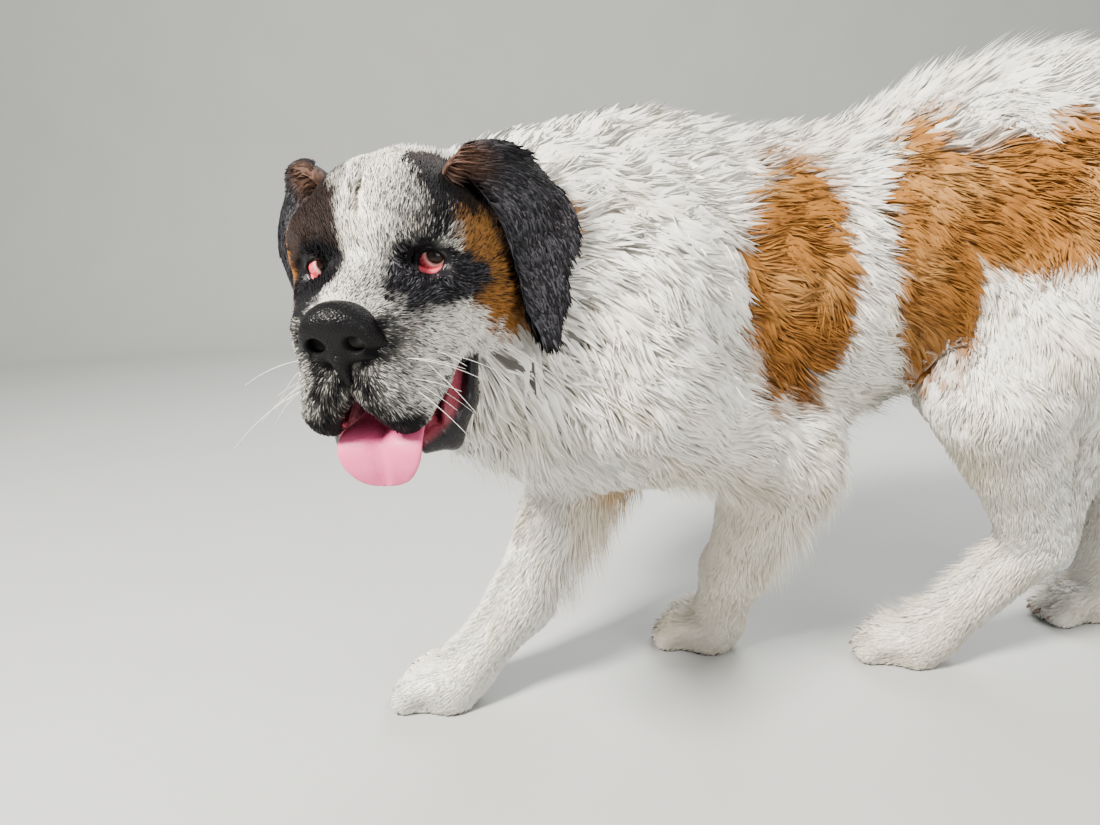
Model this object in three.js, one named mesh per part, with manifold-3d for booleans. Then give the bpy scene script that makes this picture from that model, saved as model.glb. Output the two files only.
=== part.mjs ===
// Life-size saint bernard, a male in mid stride with its head turned to its left and its mouth open.
// Millimetres, +Z up. The animal faces -Y, its left side is +X and its paws rest on Z = 0.
// Flesh is a field of rounded masses that melt into each other, read as a distance to the skin.
// The coat is a second field that thickens it, and long hair grows from that as flat locks.

import * as THREE from 'three';
import Module from 'manifold-3d';

const wasm = await Module();
wasm.setup();

// Driving dimensions
const seamGap = 0.3;
const floorLevel = 0;

// Coat: hair up to shortCoat lies flat and is part of the core. Longer hair has a core of coreShare
// of its depth, and flat locks grow from that out to the tips.
const shortCoat = 10;
const coreShare = 0.5;
const longCoat = 17;

const headPlace = [344, -547, 627];
const headYaw = 79;
const headPitch = 4;
const headRoll = 1.5;

const eyeRadius = 13;
const eyeHalfSpacing = 52;
const noseHalfWidth = 33;
const jawDrop = 28;

// Vector helpers
const add = (a, b) => [a[0] + b[0], a[1] + b[1], a[2] + b[2]];
const sub = (a, b) => [a[0] - b[0], a[1] - b[1], a[2] - b[2]];
const times = (a, s) => [a[0] * s, a[1] * s, a[2] * s];
const dot = (a, b) => a[0] * b[0] + a[1] * b[1] + a[2] * b[2];
const cross = (a, b) => [a[1] * b[2] - a[2] * b[1], a[2] * b[0] - a[0] * b[2], a[0] * b[1] - a[1] * b[0]];
const size = (a) => Math.hypot(a[0], a[1], a[2]);
const unit = (a) => times(a, 1 / size(a));
const mix = (a, b, t) => a + (b - a) * t;
const between = (a, b, t) => add(times(a, 1 - t), times(b, t));
const clamp = (v, low, high) => Math.min(Math.max(v, low), high);
const degrees = (angle) => angle * Math.PI / 180;

// Two masses joined with a fillet of the given reach
function meld(a, b, reach) {
  const h = Math.max(reach - Math.abs(a - b), 0) / reach;
  return Math.min(a, b) - h * h * reach / 4;
}

// A mass hollowed by another with a rounded rim
function hollow(a, b, reach) {
  return -meld(-a, b, reach);
}

// A round bar whose radius runs from ra to rb. flat = [direction, factor] thins it that way.
function bar(p, a, b, ra, rb, flat) {
  const ux = b[0] - a[0];
  const uy = b[1] - a[1];
  const uz = b[2] - a[2];
  let x = p[0] - a[0];
  let y = p[1] - a[1];
  let z = p[2] - a[2];
  const t = clamp((x * ux + y * uy + z * uz) / (ux * ux + uy * uy + uz * uz), 0, 1);
  x -= ux * t;
  y -= uy * t;
  z -= uz * t;
  if (flat) {
    const [way, factor] = flat;
    const more = (x * way[0] + y * way[1] + z * way[2]) * (factor - 1);
    x += way[0] * more;
    y += way[1] * more;
    z += way[2] * more;
  }
  return Math.sqrt(x * x + y * y + z * z) - ra - (rb - ra) * t;
}

// Distance to an ellipsoid with its axes along the frame
function egg(p, centre, radii) {
  const x = (p[0] - centre[0]) / radii[0];
  const y = (p[1] - centre[1]) / radii[1];
  const z = (p[2] - centre[2]) / radii[2];
  const k0 = Math.sqrt(x * x + y * y + z * z);
  const k1 = Math.sqrt((x / radii[0]) ** 2 + (y / radii[1]) ** 2 + (z / radii[2]) ** 2);
  return k1 < 1e-9 ? -Math.min(radii[0], radii[1], radii[2]) : k0 * (k0 - 1) / k1;
}

// Distance to a box with rounded edges
function block(p, centre, half, round) {
  const q = sub(p, centre).map((v, i) => Math.abs(v) - half[i] + round);
  const outside = Math.hypot(Math.max(q[0], 0), Math.max(q[1], 0), Math.max(q[2], 0));
  return outside + Math.min(Math.max(q[0], q[1], q[2]), 0) - round;
}

// Trunk: stations from breast to rump with the centre line in plan, the heights of the back and
// of the belly, the half width, all on the skin, and the coat's depth above, beside and below
const trunkStations = [
  { at: [142, -412], top: 640, bottom: 392, half: 88, coat: [34, 38, 40] },
  { at: [104, -362], top: 712, bottom: 352, half: 128, coat: [34, 34, 34] },
  { at: [46, -280], top: 738, bottom: 340, half: 152, coat: [32, 28, 26] },
  { at: [10, -150], top: 722, bottom: 354, half: 163, coat: [30, 24, 24] },
  { at: [-2, -20], top: 722, bottom: 384, half: 158, coat: [30, 22, 26] },
  { at: [8, 100], top: 764, bottom: 428, half: 138, coat: [40, 22, 26] },
  { at: [22, 210], top: 786, bottom: 470, half: 130, coat: [36, 22, 24] },
  { at: [28, 310], top: 772, bottom: 520, half: 118, coat: [34, 24, 24] },
  { at: [30, 380], top: 734, bottom: 570, half: 88, coat: [34, 36, 36] },
];
const trunkEnds = [70, 62];
const trunkSteps = 4;

function smoothRun(list, read, step) {
  const i = Math.min(Math.floor(step), list.length - 2);
  const t = step - i;
  const v = [i - 1, i, i + 1, i + 2].map((k) => read(list[clamp(k, 0, list.length - 1)]));
  const pull = 0.5;
  const m1 = (v[2] - v[0]) * pull;
  const m2 = (v[3] - v[1]) * pull;
  const a = 2 * t ** 3 - 3 * t ** 2 + 1;
  const b = t ** 3 - 2 * t ** 2 + t;
  const c = -2 * t ** 3 + 3 * t ** 2;
  const d = t ** 3 - t ** 2;
  return a * v[1] + b * m1 + c * v[2] + d * m2;
}

const trunkLine = [];
for (let k = 0; k <= (trunkStations.length - 1) * trunkSteps; k += 1) {
  const read = (get) => smoothRun(trunkStations, get, k / trunkSteps);
  trunkLine.push({
    x: read((s) => s.at[0]),
    y: read((s) => s.at[1]),
    top: read((s) => s.top),
    bottom: read((s) => s.bottom),
    half: read((s) => s.half),
    coat: [0, 1, 2].map((i) => read((s) => s.coat[i])),
  });
}

// The trunk's station beside a point, as its line index and the share of the way to the next
function nearestStation(p) {
  let least = Infinity;
  const found = { i: 0, t: 0, raw: 0, ox: 0, oy: 0 };
  for (let i = 0; i < trunkLine.length - 1; i += 1) {
    const a = trunkLine[i];
    const b = trunkLine[i + 1];
    const dx = b.x - a.x;
    const dy = b.y - a.y;
    const raw = ((p[0] - a.x) * dx + (p[1] - a.y) * dy) / (dx * dx + dy * dy);
    const t = clamp(raw, 0, 1);
    const ox = p[0] - a.x - dx * t;
    const oy = p[1] - a.y - dy * t;
    const off = ox * ox + oy * oy;
    if (off < least) {
      least = off;
      found.i = i;
      found.t = t;
      found.raw = raw;
      found.ox = ox;
      found.oy = oy;
    }
  }
  return found;
}

// Distance to the trunk's skin and the depth of its coat: an upright ellipse about the station
// beside the point, closed by half an ellipsoid past either end
function trunkAt(p) {
  const { i, t, raw, ox, oy } = nearestStation(p);
  const a = trunkLine[i];
  const b = trunkLine[i + 1];
  const run = Math.hypot(b.x - a.x, b.y - a.y);
  const aft = [(b.x - a.x) / run, (b.y - a.y) / run];
  const isPast = (i === 0 && raw < 0) || (i === trunkLine.length - 2 && raw > 1);
  const past = isPast ? ox * aft[0] + oy * aft[1] : 0;
  const side = oy * aft[0] - ox * aft[1];
  const top = mix(a.top, b.top, t);
  const bottom = mix(a.bottom, b.bottom, t);
  const cap = past < 0 ? trunkEnds[0] : trunkEnds[1];
  const radii = [mix(a.half, b.half, t), cap, (top - bottom) / 2];
  const flesh = egg([side, past, p[2] - (top + bottom) / 2], [0, 0, 0], radii);
  const level = clamp((p[2] - bottom) / (top - bottom) * 2 - 1, -1, 1);
  const beside = mix(a.coat[1], b.coat[1], t);
  const end = level > 0 ? mix(a.coat[0], b.coat[0], t) : mix(a.coat[2], b.coat[2], t);
  return { flesh, coat: mix(beside, end, level ** 2) };
}

// Bars of flesh: ends, radii at the ends, depth of coat at the ends, fillet to what is there
// already, and the way the hair lies where that isn't from a to b
const leftward = [1, 0, 0];
const neckBars = [
  { a: [36, -300, 622], b: [118, -412, 624], ra: 96, rb: 92, coat: [30, 30], melt: 70, lie: [-0.5, 0.6, -0.5] },
  { a: [118, -412, 624], b: [212, -508, 622], ra: 92, rb: 76, coat: [30, 20], melt: 60, lie: [-0.6, 0.6, -0.5] },
  { a: [120, -370, 500], b: [190, -462, 520], ra: 112, rb: 74, coat: [40, 42], melt: 80, lie: [-0.3, 0.35, -0.9] },
  { a: [190, -462, 520], b: [262, -512, 560], ra: 74, rb: 54, coat: [40, 22], melt: 50, lie: [-0.45, 0.3, -0.8] },
];

const foreLimbs = {
  left: {
    shoulder: [162, -292, 560],
    point: [188, -318, 462],
    elbow: [118, -112, 352],
    wrist: [16, -154, 142],
    knuckle: [-24, -168, 48],
    foot: [-36, -188, 0],
    toe: [-70, -238, 0],
  },
  right: {
    shoulder: [-64, -404, 560],
    point: [-4, -436, 470],
    elbow: [6, -352, 334],
    wrist: [56, -456, 140],
    knuckle: [72, -536, 54],
    foot: [76, -570, 0],
    toe: [52, -626, 0],
  },
};

function foreBars(limb) {
  const shank = between(limb.elbow, limb.wrist, 0.45);
  return [
    { a: limb.shoulder, b: limb.point, ra: 62, rb: 62, coat: [26, 30], melt: 70, lie: [0, 0.6, -1] },
    { a: limb.point, b: limb.elbow, ra: 62, rb: 48, coat: [26, 20], melt: 60 },
    { a: limb.elbow, b: shank, ra: 48, rb: 41, coat: [20, 12], melt: 40 },
    { a: shank, b: limb.wrist, ra: 40, rb: 37, coat: [12, 8], melt: 20 },
    { a: limb.wrist, b: limb.knuckle, ra: 36, rb: 33, coat: [8, 6], melt: 20 },
  ];
}

const hindLimbs = {
  left: {
    hip: [112, 296, 600],
    haunch: [92, 372, 610],
    stifle: [126, 144, 408],
    hock: [76, 240, 190],
    heel: [74, 266, 206],
    knuckle: [48, 120, 50],
    foot: [38, 92, 0],
    toe: [2, 40, 0],
  },
  right: {
    hip: [-52, 306, 600],
    haunch: [-30, 380, 606],
    stifle: [-74, 214, 382],
    hock: [-48, 448, 236],
    heel: [-46, 476, 246],
    knuckle: [-52, 424, 50],
    foot: [-52, 404, 0],
    toe: [-58, 340, 0],
  },
};

const hamLie = [0, 0.4, -1];

function hindBars(limb) {
  const calf = between(limb.stifle, limb.hock, 0.35);
  const calfBack = between(between(limb.haunch, limb.hip, 0.5), limb.hock, 0.55);
  const ham = between(limb.hip, limb.stifle, 0.6);
  return [
    { a: limb.hip, b: ham, ra: 96, rb: 76, coat: [22, 20], melt: 90, lie: hamLie },
    { a: ham, b: limb.stifle, ra: 76, rb: 58, coat: [20, 18], melt: 40, lie: hamLie },
    { a: limb.haunch, b: calfBack, ra: 66, rb: 44, coat: [40, 30], melt: 60 },
    { a: limb.stifle, b: calf, ra: 58, rb: 46, coat: [18, 14], melt: 40 },
    { a: calf, b: limb.hock, ra: 46, rb: 31, coat: [14, 9], melt: 26 },
    { a: calfBack, b: limb.heel, ra: 34, rb: 17, coat: [20, 9], melt: 26 },
    { a: limb.heel, b: limb.hock, ra: 17, rb: 28, coat: [9, 8], melt: 16 },
    { a: limb.hock, b: limb.knuckle, ra: 33, rb: 31, coat: [9, 8], melt: 18 },
  ];
}

// A paw: four arched toes fanned about its middle, over a wide pad
const pawSizes = {
  fore: { length: 98, spread: 20, toeRadius: 18, padRadius: 36, height: 42 },
  hind: { length: 98, spread: 18, toeRadius: 17, padRadius: 33, height: 40 },
};

// Toes by their place across the paw. The outer two are shorter.
const toeRanks = [-1.5, -0.5, 0.5, 1.5];
const toeShares = { inner: 0.56, outer: 0.46 };

function pawBars(limb, sizes) {
  const ahead = unit(sub(limb.toe, limb.foot));
  const left = cross([0, 0, 1], ahead);
  const heelPad = add(limb.foot, add(times(ahead, -10), [0, 0, sizes.padRadius * 0.7]));
  const bars = [{ a: limb.knuckle, b: heelPad, ra: 33, rb: sizes.padRadius, coat: [6, 5], melt: 20 }];
  for (const rank of toeRanks) {
    const reach = sizes.length * (Math.abs(rank) > 1 ? toeShares.outer : toeShares.inner);
    const place = (along, across, high) => add(limb.foot, add(add(times(ahead, along), times(left, across)),
      [0, 0, high]));
    const root = place(0, rank * sizes.spread * 0.75, sizes.height);
    const bend = place(reach * 0.55, rank * sizes.spread, sizes.height - 4);
    const tip = place(reach, rank * sizes.spread * 1.12, sizes.toeRadius - 3);
    const pad = between(heelPad, root, 0.5);
    bars.push(
      { a: [pad[0], pad[1], 15], b: [tip[0], tip[1], 13], ra: 15, rb: 13, coat: [4, 3], melt: 10 },
      { a: root, b: bend, ra: 20, rb: sizes.toeRadius, coat: [6, 5], melt: 12 },
      { a: bend, b: tip, ra: sizes.toeRadius, rb: sizes.toeRadius - 2, coat: [5, 5], melt: 5, isToeTip: true },
    );
  }
  return bars;
}

// Tail: hangs from the croup in a slack curve and lifts a little at its tip
const tailLine = [[32, 408, 716], [36, 484, 664], [46, 548, 576], [58, 588, 468], [70, 612, 360], [80, 652, 292]];
const tailRadii = [40, 31, 27, 23, 18, 12];
const tailCoat = [26, 34, 40, 42, 40, 26];
const tailBars = tailLine.slice(0, -1).map((a, i) => ({
  a,
  b: tailLine[i + 1],
  ra: tailRadii[i],
  rb: tailRadii[i + 1],
  coat: [tailCoat[i], tailCoat[i + 1]],
  melt: i ? 16 : 50,
}));

const bodyBars = [
  ...neckBars,
  ...foreBars(foreLimbs.left),
  ...foreBars(foreLimbs.right),
  ...hindBars(hindLimbs.left),
  ...hindBars(hindLimbs.right),
  ...pawBars(foreLimbs.left, pawSizes.fore),
  ...pawBars(foreLimbs.right, pawSizes.fore),
  ...pawBars(hindLimbs.left, pawSizes.hind),
  ...pawBars(hindLimbs.right, pawSizes.hind),
  ...tailBars,
];

// Head frame: ahead, to its left and up from the point midway between the eyes
function headFrame() {
  const yaw = degrees(headYaw);
  const pitch = degrees(headPitch);
  const roll = degrees(headRoll);
  const ahead = [Math.sin(yaw) * Math.cos(pitch), -Math.cos(yaw) * Math.cos(pitch), -Math.sin(pitch)];
  const level = unit(cross([0, 0, 1], ahead));
  const upright = cross(ahead, level);
  const left = add(times(level, Math.cos(roll)), times(upright, Math.sin(roll)));
  return [ahead, left, cross(ahead, left)];
}

const [headAhead, headLeft, headUp] = headFrame();

function toHead(p) {
  const q = sub(p, headPlace);
  return [dot(q, headAhead), dot(q, headLeft), dot(q, headUp)];
}

function fromHead(q) {
  return add(headPlace, add(add(times(headAhead, q[0]), times(headLeft, q[1])), times(headUp, q[2])));
}

const mirrored = (q) => [q[0], Math.abs(q[1]), q[2]];
const eyePlace = [-2, eyeHalfSpacing, 0];

// Lids: the upper one arches close over the eye under a hooded brow, the lower one sags and leaves
// its inner rim bare
const innerCorner = add(eyePlace, [10, -16, -7]);
const outerCorner = add(eyePlace, [3, 17, -3]);
const upperLid = [innerCorner, add(eyePlace, [12.5, -6, 10]), add(eyePlace, [10, 8, 9]), outerCorner];
const lowerLid = [innerCorner, add(eyePlace, [12, -6, -16]), add(eyePlace, [10, 8, -15]), outerCorner];
const hood = [[12, -17, 12], [10, 4, 17], [1, 25, 5]].map((off) => add(eyePlace, off));
const lidRadius = 3.6;
const hoodRadius = 4.5;
const foldBars = [[upperLid, lidRadius], [lowerLid, lidRadius], [hood, hoodRadius]].flatMap(([line, r]) => (
  line.slice(0, -1).map((a, i) => ({ a, b: line[i + 1], r }))));

const nosePlace = [101, 0, -41];

// Skull, brow, cheeks, muzzle and hanging upper lips, mirrored about the head's middle
function headFlesh(q) {
  const m = mirrored(q);
  let d = egg(m, [-64, 0, 10], [88, 82, 80]);
  d = meld(d, egg(m, [-22, 0, 30], [50, 56, 50]), 30);
  d = meld(d, egg(m, [-52, 56, -18], [62, 36, 52]), 34);
  d = meld(d, egg(m, [-84, 58, -56], [50, 32, 44]), 34);
  d = meld(d, bar(m, [-128, 0, 30], [-112, 0, 58], 34, 30), 40);
  d = meld(d, egg(m, [-6, 54, -56], [46, 26, 32]), 24);
  d = meld(d, block(m, [46, 0, -56], [54, 47, 38], 25), 30);
  d = meld(d, bar(m, [6, 0, -16], [86, 0, -34], 27, 24), 20);
  d = meld(d, bar(m, [4, 44, -30], [52, 36, -50], 24, 22), 24);
  d = meld(d, bar(m, [10, 20, 28], [-10, 62, 26], 18, 17), 22);
  d = meld(d, bar(m, [88, 24, -94], [71, 33, -112], 20, 20), 16);
  d = meld(d, bar(m, [71, 33, -112], [45, 45, -94], 20, 18), 14);
  d = meld(d, bar(m, [45, 45, -94], [-24, 62, -54], 18, 17), 16);
  d = hollow(d, bar(m, [112, 0, -104], [84, 0, -122], 5, 12), 8);
  d = hollow(d, egg(m, [22, 0, -132], [84, 34, 40]), 10);
  d = hollow(d, egg(m, add(eyePlace, [14, 1, -2]), [20, 19, 14]), 7);
  for (const fold of foldBars) {
    d = meld(d, bar(m, fold.a, fold.b, fold.r, fold.r), 4);
  }
  return d;
}

// Short hair on the face, none on the lids and beside the nose leather, longer behind the cheeks
const faceCoat = 4;
const napeCoat = 18;

function headCoat(q) {
  const back = clamp((-q[0] - 100) / 60, 0, 1);
  const low = clamp((-q[2] - 40) / 60, 0, 1) * clamp((-q[0] - 50) / 40, 0, 1);
  const fromEye = size(sub(mirrored(q), eyePlace));
  const fromNose = size(sub(q, nosePlace));
  const bare = clamp(Math.min((fromEye - 16) / 18, (fromNose - 24) / 24), 0.1, 1);
  return mix(faceCoat * bare, napeCoat, Math.max(back, low));
}

// Distance to the body's skin and the depth of its coat, where each mass counts the more the
// nearer it lies. Masses whose bounding ball is far off are passed over.
const coatReach = 14;
const farReach = 110;
for (const piece of bodyBars) {
  piece.ball = between(piece.a, piece.b, 0.5);
  piece.ballRadius = size(sub(piece.b, piece.a)) / 2 + Math.max(piece.ra, piece.rb) + farReach;
}

function bodyAt(p) {
  const trunk = trunkAt(p);
  let flesh = trunk.flesh;
  let weight = Math.exp(-Math.max(flesh, 0) / coatReach) + 1e-12;
  let total = weight * trunk.coat;
  for (const piece of bodyBars) {
    const off = (p[0] - piece.ball[0]) ** 2 + (p[1] - piece.ball[1]) ** 2 + (p[2] - piece.ball[2]) ** 2;
    if (off > piece.ballRadius ** 2) {
      continue;
    }
    const d = bar(p, piece.a, piece.b, piece.ra, piece.rb);
    const w = Math.exp(-Math.max(d, 0) / coatReach);
    total += w * (piece.coat[0] + piece.coat[1]) / 2;
    weight += w;
    flesh = meld(flesh, d, piece.melt);
  }
  return { flesh, coat: total / weight };
}

// The whole animal apart from its lower jaw, nose leather, eyes, ears and tongue, out to a depth
// that is worked out from the full depth of the coat
const headReach = 300;
const napeMelt = 24;

function fieldAt(p, depthOf) {
  const q = toHead(p);
  const body = bodyAt(p);
  const d = body.flesh - depthOf(body.coat);
  return size(q) > headReach ? d : meld(d, headFlesh(q) - depthOf(headCoat(q)), napeMelt);
}

const coreDepth = (coat) => Math.min(coat, Math.max(shortCoat, coat * coreShare));
const coreField = (p) => fieldAt(p, coreDepth);

// Surface of a field: one vertex for each cell that the surface crosses, pulled on to it
function surfaceOf(field, lines) {
  const [xs, ys, zs] = lines;
  const count = lines.map((line) => line.length);
  const at = (i, j, k) => (i * count[1] + j) * count[2] + k;
  const values = new Float64Array(count[0] * count[1] * count[2]);
  for (let i = 0; i < count[0]; i += 1) {
    for (let j = 0; j < count[1]; j += 1) {
      for (let k = 0; k < count[2]; k += 1) {
        const rim = i * j * k === 0 || i === count[0] - 1 || j === count[1] - 1 || k === count[2] - 1;
        const v = field([xs[i], ys[j], zs[k]]);
        values[at(i, j, k)] = rim ? Math.max(v, 0.5) : v;
      }
    }
  }
  untangle(values, count, at);
  const corners = [];
  for (let c = 0; c < 8; c += 1) {
    corners.push([c & 1, (c >> 1) & 1, (c >> 2) & 1]);
  }
  const edges = [];
  for (let a = 0; a < 8; a += 1) {
    for (const bit of [1, 2, 4]) {
      if (!(a & bit)) {
        edges.push([a, a | bit]);
      }
    }
  }
  const index = new Map();
  const points = [];
  for (let i = 0; i < count[0] - 1; i += 1) {
    for (let j = 0; j < count[1] - 1; j += 1) {
      for (let k = 0; k < count[2] - 1; k += 1) {
        const v = corners.map((c) => values[at(i + c[0], j + c[1], k + c[2])]);
        const low = Math.min(...v);
        if (low >= 0 || Math.max(...v) < 0) {
          continue;
        }
        const sum = [0, 0, 0];
        let hits = 0;
        for (const [a, b] of edges) {
          if ((v[a] < 0) !== (v[b] < 0)) {
            const t = v[a] / (v[a] - v[b]);
            const ca = corners[a];
            const cb = corners[b];
            sum[0] += mix(xs[i + ca[0]], xs[i + cb[0]], t);
            sum[1] += mix(ys[j + ca[1]], ys[j + cb[1]], t);
            sum[2] += mix(zs[k + ca[2]], zs[k + cb[2]], t);
            hits += 1;
          }
        }
        index.set(at(i, j, k), points.length);
        points.push(times(sum, 1 / hits));
      }
    }
  }
  const faces = [];
  const quad = (a, b, c, d, flip) => {
    const ids = [a, b, c, d].map((id) => index.get(id));
    const [p, q, r, s] = ids.map((id) => points[id]);
    const short = size(sub(p, r)) < size(sub(q, s));
    const pair = short ? [[0, 1, 2], [0, 2, 3]] : [[1, 2, 3], [1, 3, 0]];
    for (const face of pair) {
      const three = face.map((n) => ids[n]);
      faces.push(flip ? three.reverse() : three);
    }
  };
  for (let i = 0; i < count[0] - 1; i += 1) {
    for (let j = 0; j < count[1] - 1; j += 1) {
      for (let k = 0; k < count[2] - 1; k += 1) {
        const here = values[at(i, j, k)] < 0;
        if (j && k && here !== values[at(i + 1, j, k)] < 0) {
          quad(at(i, j - 1, k - 1), at(i, j, k - 1), at(i, j, k), at(i, j - 1, k), !here);
        }
        if (i && k && here !== values[at(i, j + 1, k)] < 0) {
          quad(at(i - 1, j, k - 1), at(i - 1, j, k), at(i, j, k), at(i, j, k - 1), !here);
        }
        if (i && j && here !== values[at(i, j, k + 1)] < 0) {
          quad(at(i - 1, j - 1, k), at(i, j - 1, k), at(i, j, k), at(i - 1, j, k), !here);
        }
      }
    }
  }
  const cell = Math.min(xs[1] - xs[0], ys[1] - ys[0], zs[1] - zs[0]);
  const settled = points.map((p) => settle(field, p, cell / 2));
  return { points: settled, faces };
}

// A cell face whose corners alternate in and out would pinch the surface: the corner nearest to
// the surface changes side until no face alternates
const untangling = { passes: 20, nudge: 0.01 };

function untangle(values, count, at) {
  const faceTurns = [[[0, 1, 0], [0, 0, 1]], [[1, 0, 0], [0, 0, 1]], [[1, 0, 0], [0, 1, 0]]];
  let found = true;
  for (let pass = 0; found && pass < untangling.passes; pass += 1) {
    found = false;
    for (const [u, w] of faceTurns) {
      for (let i = 0; i < count[0] - u[0] - w[0]; i += 1) {
        for (let j = 0; j < count[1] - u[1] - w[1]; j += 1) {
          for (let k = 0; k < count[2] - u[2] - w[2]; k += 1) {
            const ids = [at(i, j, k), at(i + u[0], j + u[1], k + u[2]),
              at(i + u[0] + w[0], j + u[1] + w[1], k + u[2] + w[2]), at(i + w[0], j + w[1], k + w[2])];
            const inside = ids.map((id) => values[id] < 0);
            if (inside[0] === inside[2] && inside[1] === inside[3] && inside[0] !== inside[1]) {
              ids.sort((a, b) => Math.abs(values[a]) - Math.abs(values[b]));
              values[ids[0]] = values[ids[0]] < 0 ? untangling.nudge : -untangling.nudge;
              found = true;
            }
          }
        }
      }
    }
  }
}

// The field's steepest direction at a point
function slope(field, p, step = 0.5) {
  const g = [0, 1, 2].map((axis) => {
    const up = [...p];
    const down = [...p];
    up[axis] += step;
    down[axis] -= step;
    return (field(up) - field(down)) / (2 * step);
  });
  return g;
}

// Moves a point on to the field's zero by a few steps along its slope
function settle(field, start, limit) {
  let p = start;
  for (let turn = 0; turn < 3; turn += 1) {
    const g = slope(field, p);
    const steep = Math.max(dot(g, g), 0.04);
    p = sub(p, times(g, field(p) / steep));
  }
  const moved = sub(p, start);
  const far = size(moved);
  return far > limit ? add(start, times(moved, limit / far)) : p;
}

// Sum of squared distances to planes, kept as the ten numbers of a symmetric matrix
const tenth = [[0, 0], [0, 1], [0, 2], [0, 3], [1, 1], [1, 2], [1, 3], [2, 2], [2, 3], [3, 3]];
const twice = tenth.map(([a, b]) => (a === b ? 1 : 2));

function planeForm(p, q, r) {
  const across = cross(sub(q, p), sub(r, p));
  const area = size(across) + 1e-12;
  const n = times(across, 1 / area);
  const plane = [...n, -dot(n, p)];
  return tenth.map(([a, b]) => plane[a] * plane[b] * area);
}

function formAt(form, p) {
  const h = [...p, 1];
  return tenth.reduce((sum, [a, b], n) => sum + form[n] * twice[n] * h[a] * h[b], 0);
}

// Thins a closed surface to about the wanted count of triangles, least bent edges first. An edge
// closes only where its ends share two neighbours and no face near it turns over.
const thinning = { passes: 60, batch: 0.3, lengthCost: 0.02, leastTurn: 0.5, leastBreadth: 0.12 };

function thinned({ points, faces }, wanted) {
  const place = points.map((p) => [p[0], p[1], p[2]]);
  let live = faces.map((face) => [...face]);
  const forms = place.map(() => new Array(10).fill(0));
  for (const [a, b, c] of live) {
    const form = planeForm(place[a], place[b], place[c]);
    for (const id of [a, b, c]) {
      form.forEach((v, n) => { forms[id][n] += v; });
    }
  }
  for (let pass = 0; pass < thinning.passes && live.length > wanted; pass += 1) {
    const around = new Map();
    live.forEach((face, n) => face.forEach((id) => {
      if (!around.has(id)) {
        around.set(id, []);
      }
      around.get(id).push(n);
    }));
    const edges = [];
    for (const face of live) {
      for (let n = 0; n < 3; n += 1) {
        const a = face[n];
        const b = face[(n + 1) % 3];
        if (a < b) {
          const form = forms[a].map((v, i) => v + forms[b][i]);
          const middle = between(place[a], place[b], 0.5);
          const spots = [middle, place[a], place[b]];
          const costs = spots.map((p) => formAt(form, p));
          const best = costs.indexOf(Math.min(...costs));
          const length = size(sub(place[a], place[b]));
          const cost = costs[best] + length * length * thinning.lengthCost;
          edges.push({ a, b, form, spot: spots[best], cost });
        }
      }
    }
    edges.sort((e, f) => e.cost - f.cost);
    const touched = new Set();
    let left = live.length;
    const gone = new Set();
    for (const edge of edges.slice(0, Math.ceil(edges.length * thinning.batch))) {
      if (left <= wanted) {
        break;
      }
      const ringFaces = [...new Set([...around.get(edge.a), ...around.get(edge.b)])];
      const ring = new Set(ringFaces.flatMap((n) => live[n]));
      if ([...ring].some((id) => touched.has(id))) {
        continue;
      }
      const near = (id) => new Set(around.get(id).flatMap((n) => live[n]));
      const farSide = near(edge.b);
      const shared = [...near(edge.a)].filter((id) => farSide.has(id) && id !== edge.a && id !== edge.b);
      if (shared.length !== 2) {
        continue;
      }
      const turns = ringFaces.some((n) => {
        const face = live[n];
        if (face.includes(edge.a) && face.includes(edge.b)) {
          return false;
        }
        const before = face.map((id) => place[id]);
        const after = face.map((id) => (id === edge.a || id === edge.b ? edge.spot : place[id]));
        const was = cross(sub(before[1], before[0]), sub(before[2], before[0]));
        const is = cross(sub(after[1], after[0]), sub(after[2], after[0]));
        const longest = Math.max(...after.map((p, k) => size(sub(p, after[(k + 1) % 3]))));
        const isTurned = dot(was, is) < thinning.leastTurn * size(was) * size(is);
        return isTurned || size(is) < thinning.leastBreadth * longest * longest;
      });
      if (turns) {
        continue;
      }
      place[edge.a] = edge.spot;
      forms[edge.a] = edge.form;
      for (const n of around.get(edge.b)) {
        if (live[n].includes(edge.a)) {
          gone.add(n);
        } else {
          live[n] = live[n].map((id) => (id === edge.b ? edge.a : id));
        }
      }
      left -= 2;
      ring.forEach((id) => touched.add(id));
    }
    if (!gone.size) {
      break;
    }
    live = live.filter((face, n) => !gone.has(n));
  }
  const index = new Map();
  const kept = [];
  for (const id of live.flat()) {
    if (!index.has(id)) {
      index.set(id, kept.length);
      kept.push(place[id]);
    }
  }
  return { points: kept, faces: live.map((face) => face.map((id) => index.get(id))) };
}

// Even grid lines from low to high, or in stretches of different pitch
function ruled(...stops) {
  const line = [stops[0]];
  for (let n = 1; n < stops.length; n += 2) {
    const pitch = stops[n];
    const end = stops[n + 1];
    const start = line[line.length - 1];
    const cells = Math.max(1, Math.round((end - start) / pitch));
    for (let c = 1; c <= cells; c += 1) {
      line.push(mix(start, end, c / cells));
    }
  }
  return line;
}

// Solids for cutting and joining. A surface that came out inside out is turned round.
function solidOf({ points, faces }) {
  let volume = 0;
  for (const [a, b, c] of faces) {
    volume += dot(points[a], cross(points[b], points[c]));
  }
  const outward = volume > 0 ? faces : faces.map(([a, b, c]) => [a, c, b]);
  const mesh = new wasm.Mesh({
    numProp: 3,
    vertProperties: new Float32Array(points.flat()),
    triVerts: new Uint32Array(outward.flat()),
  });
  mesh.merge();
  return new wasm.Manifold(mesh);
}

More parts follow.
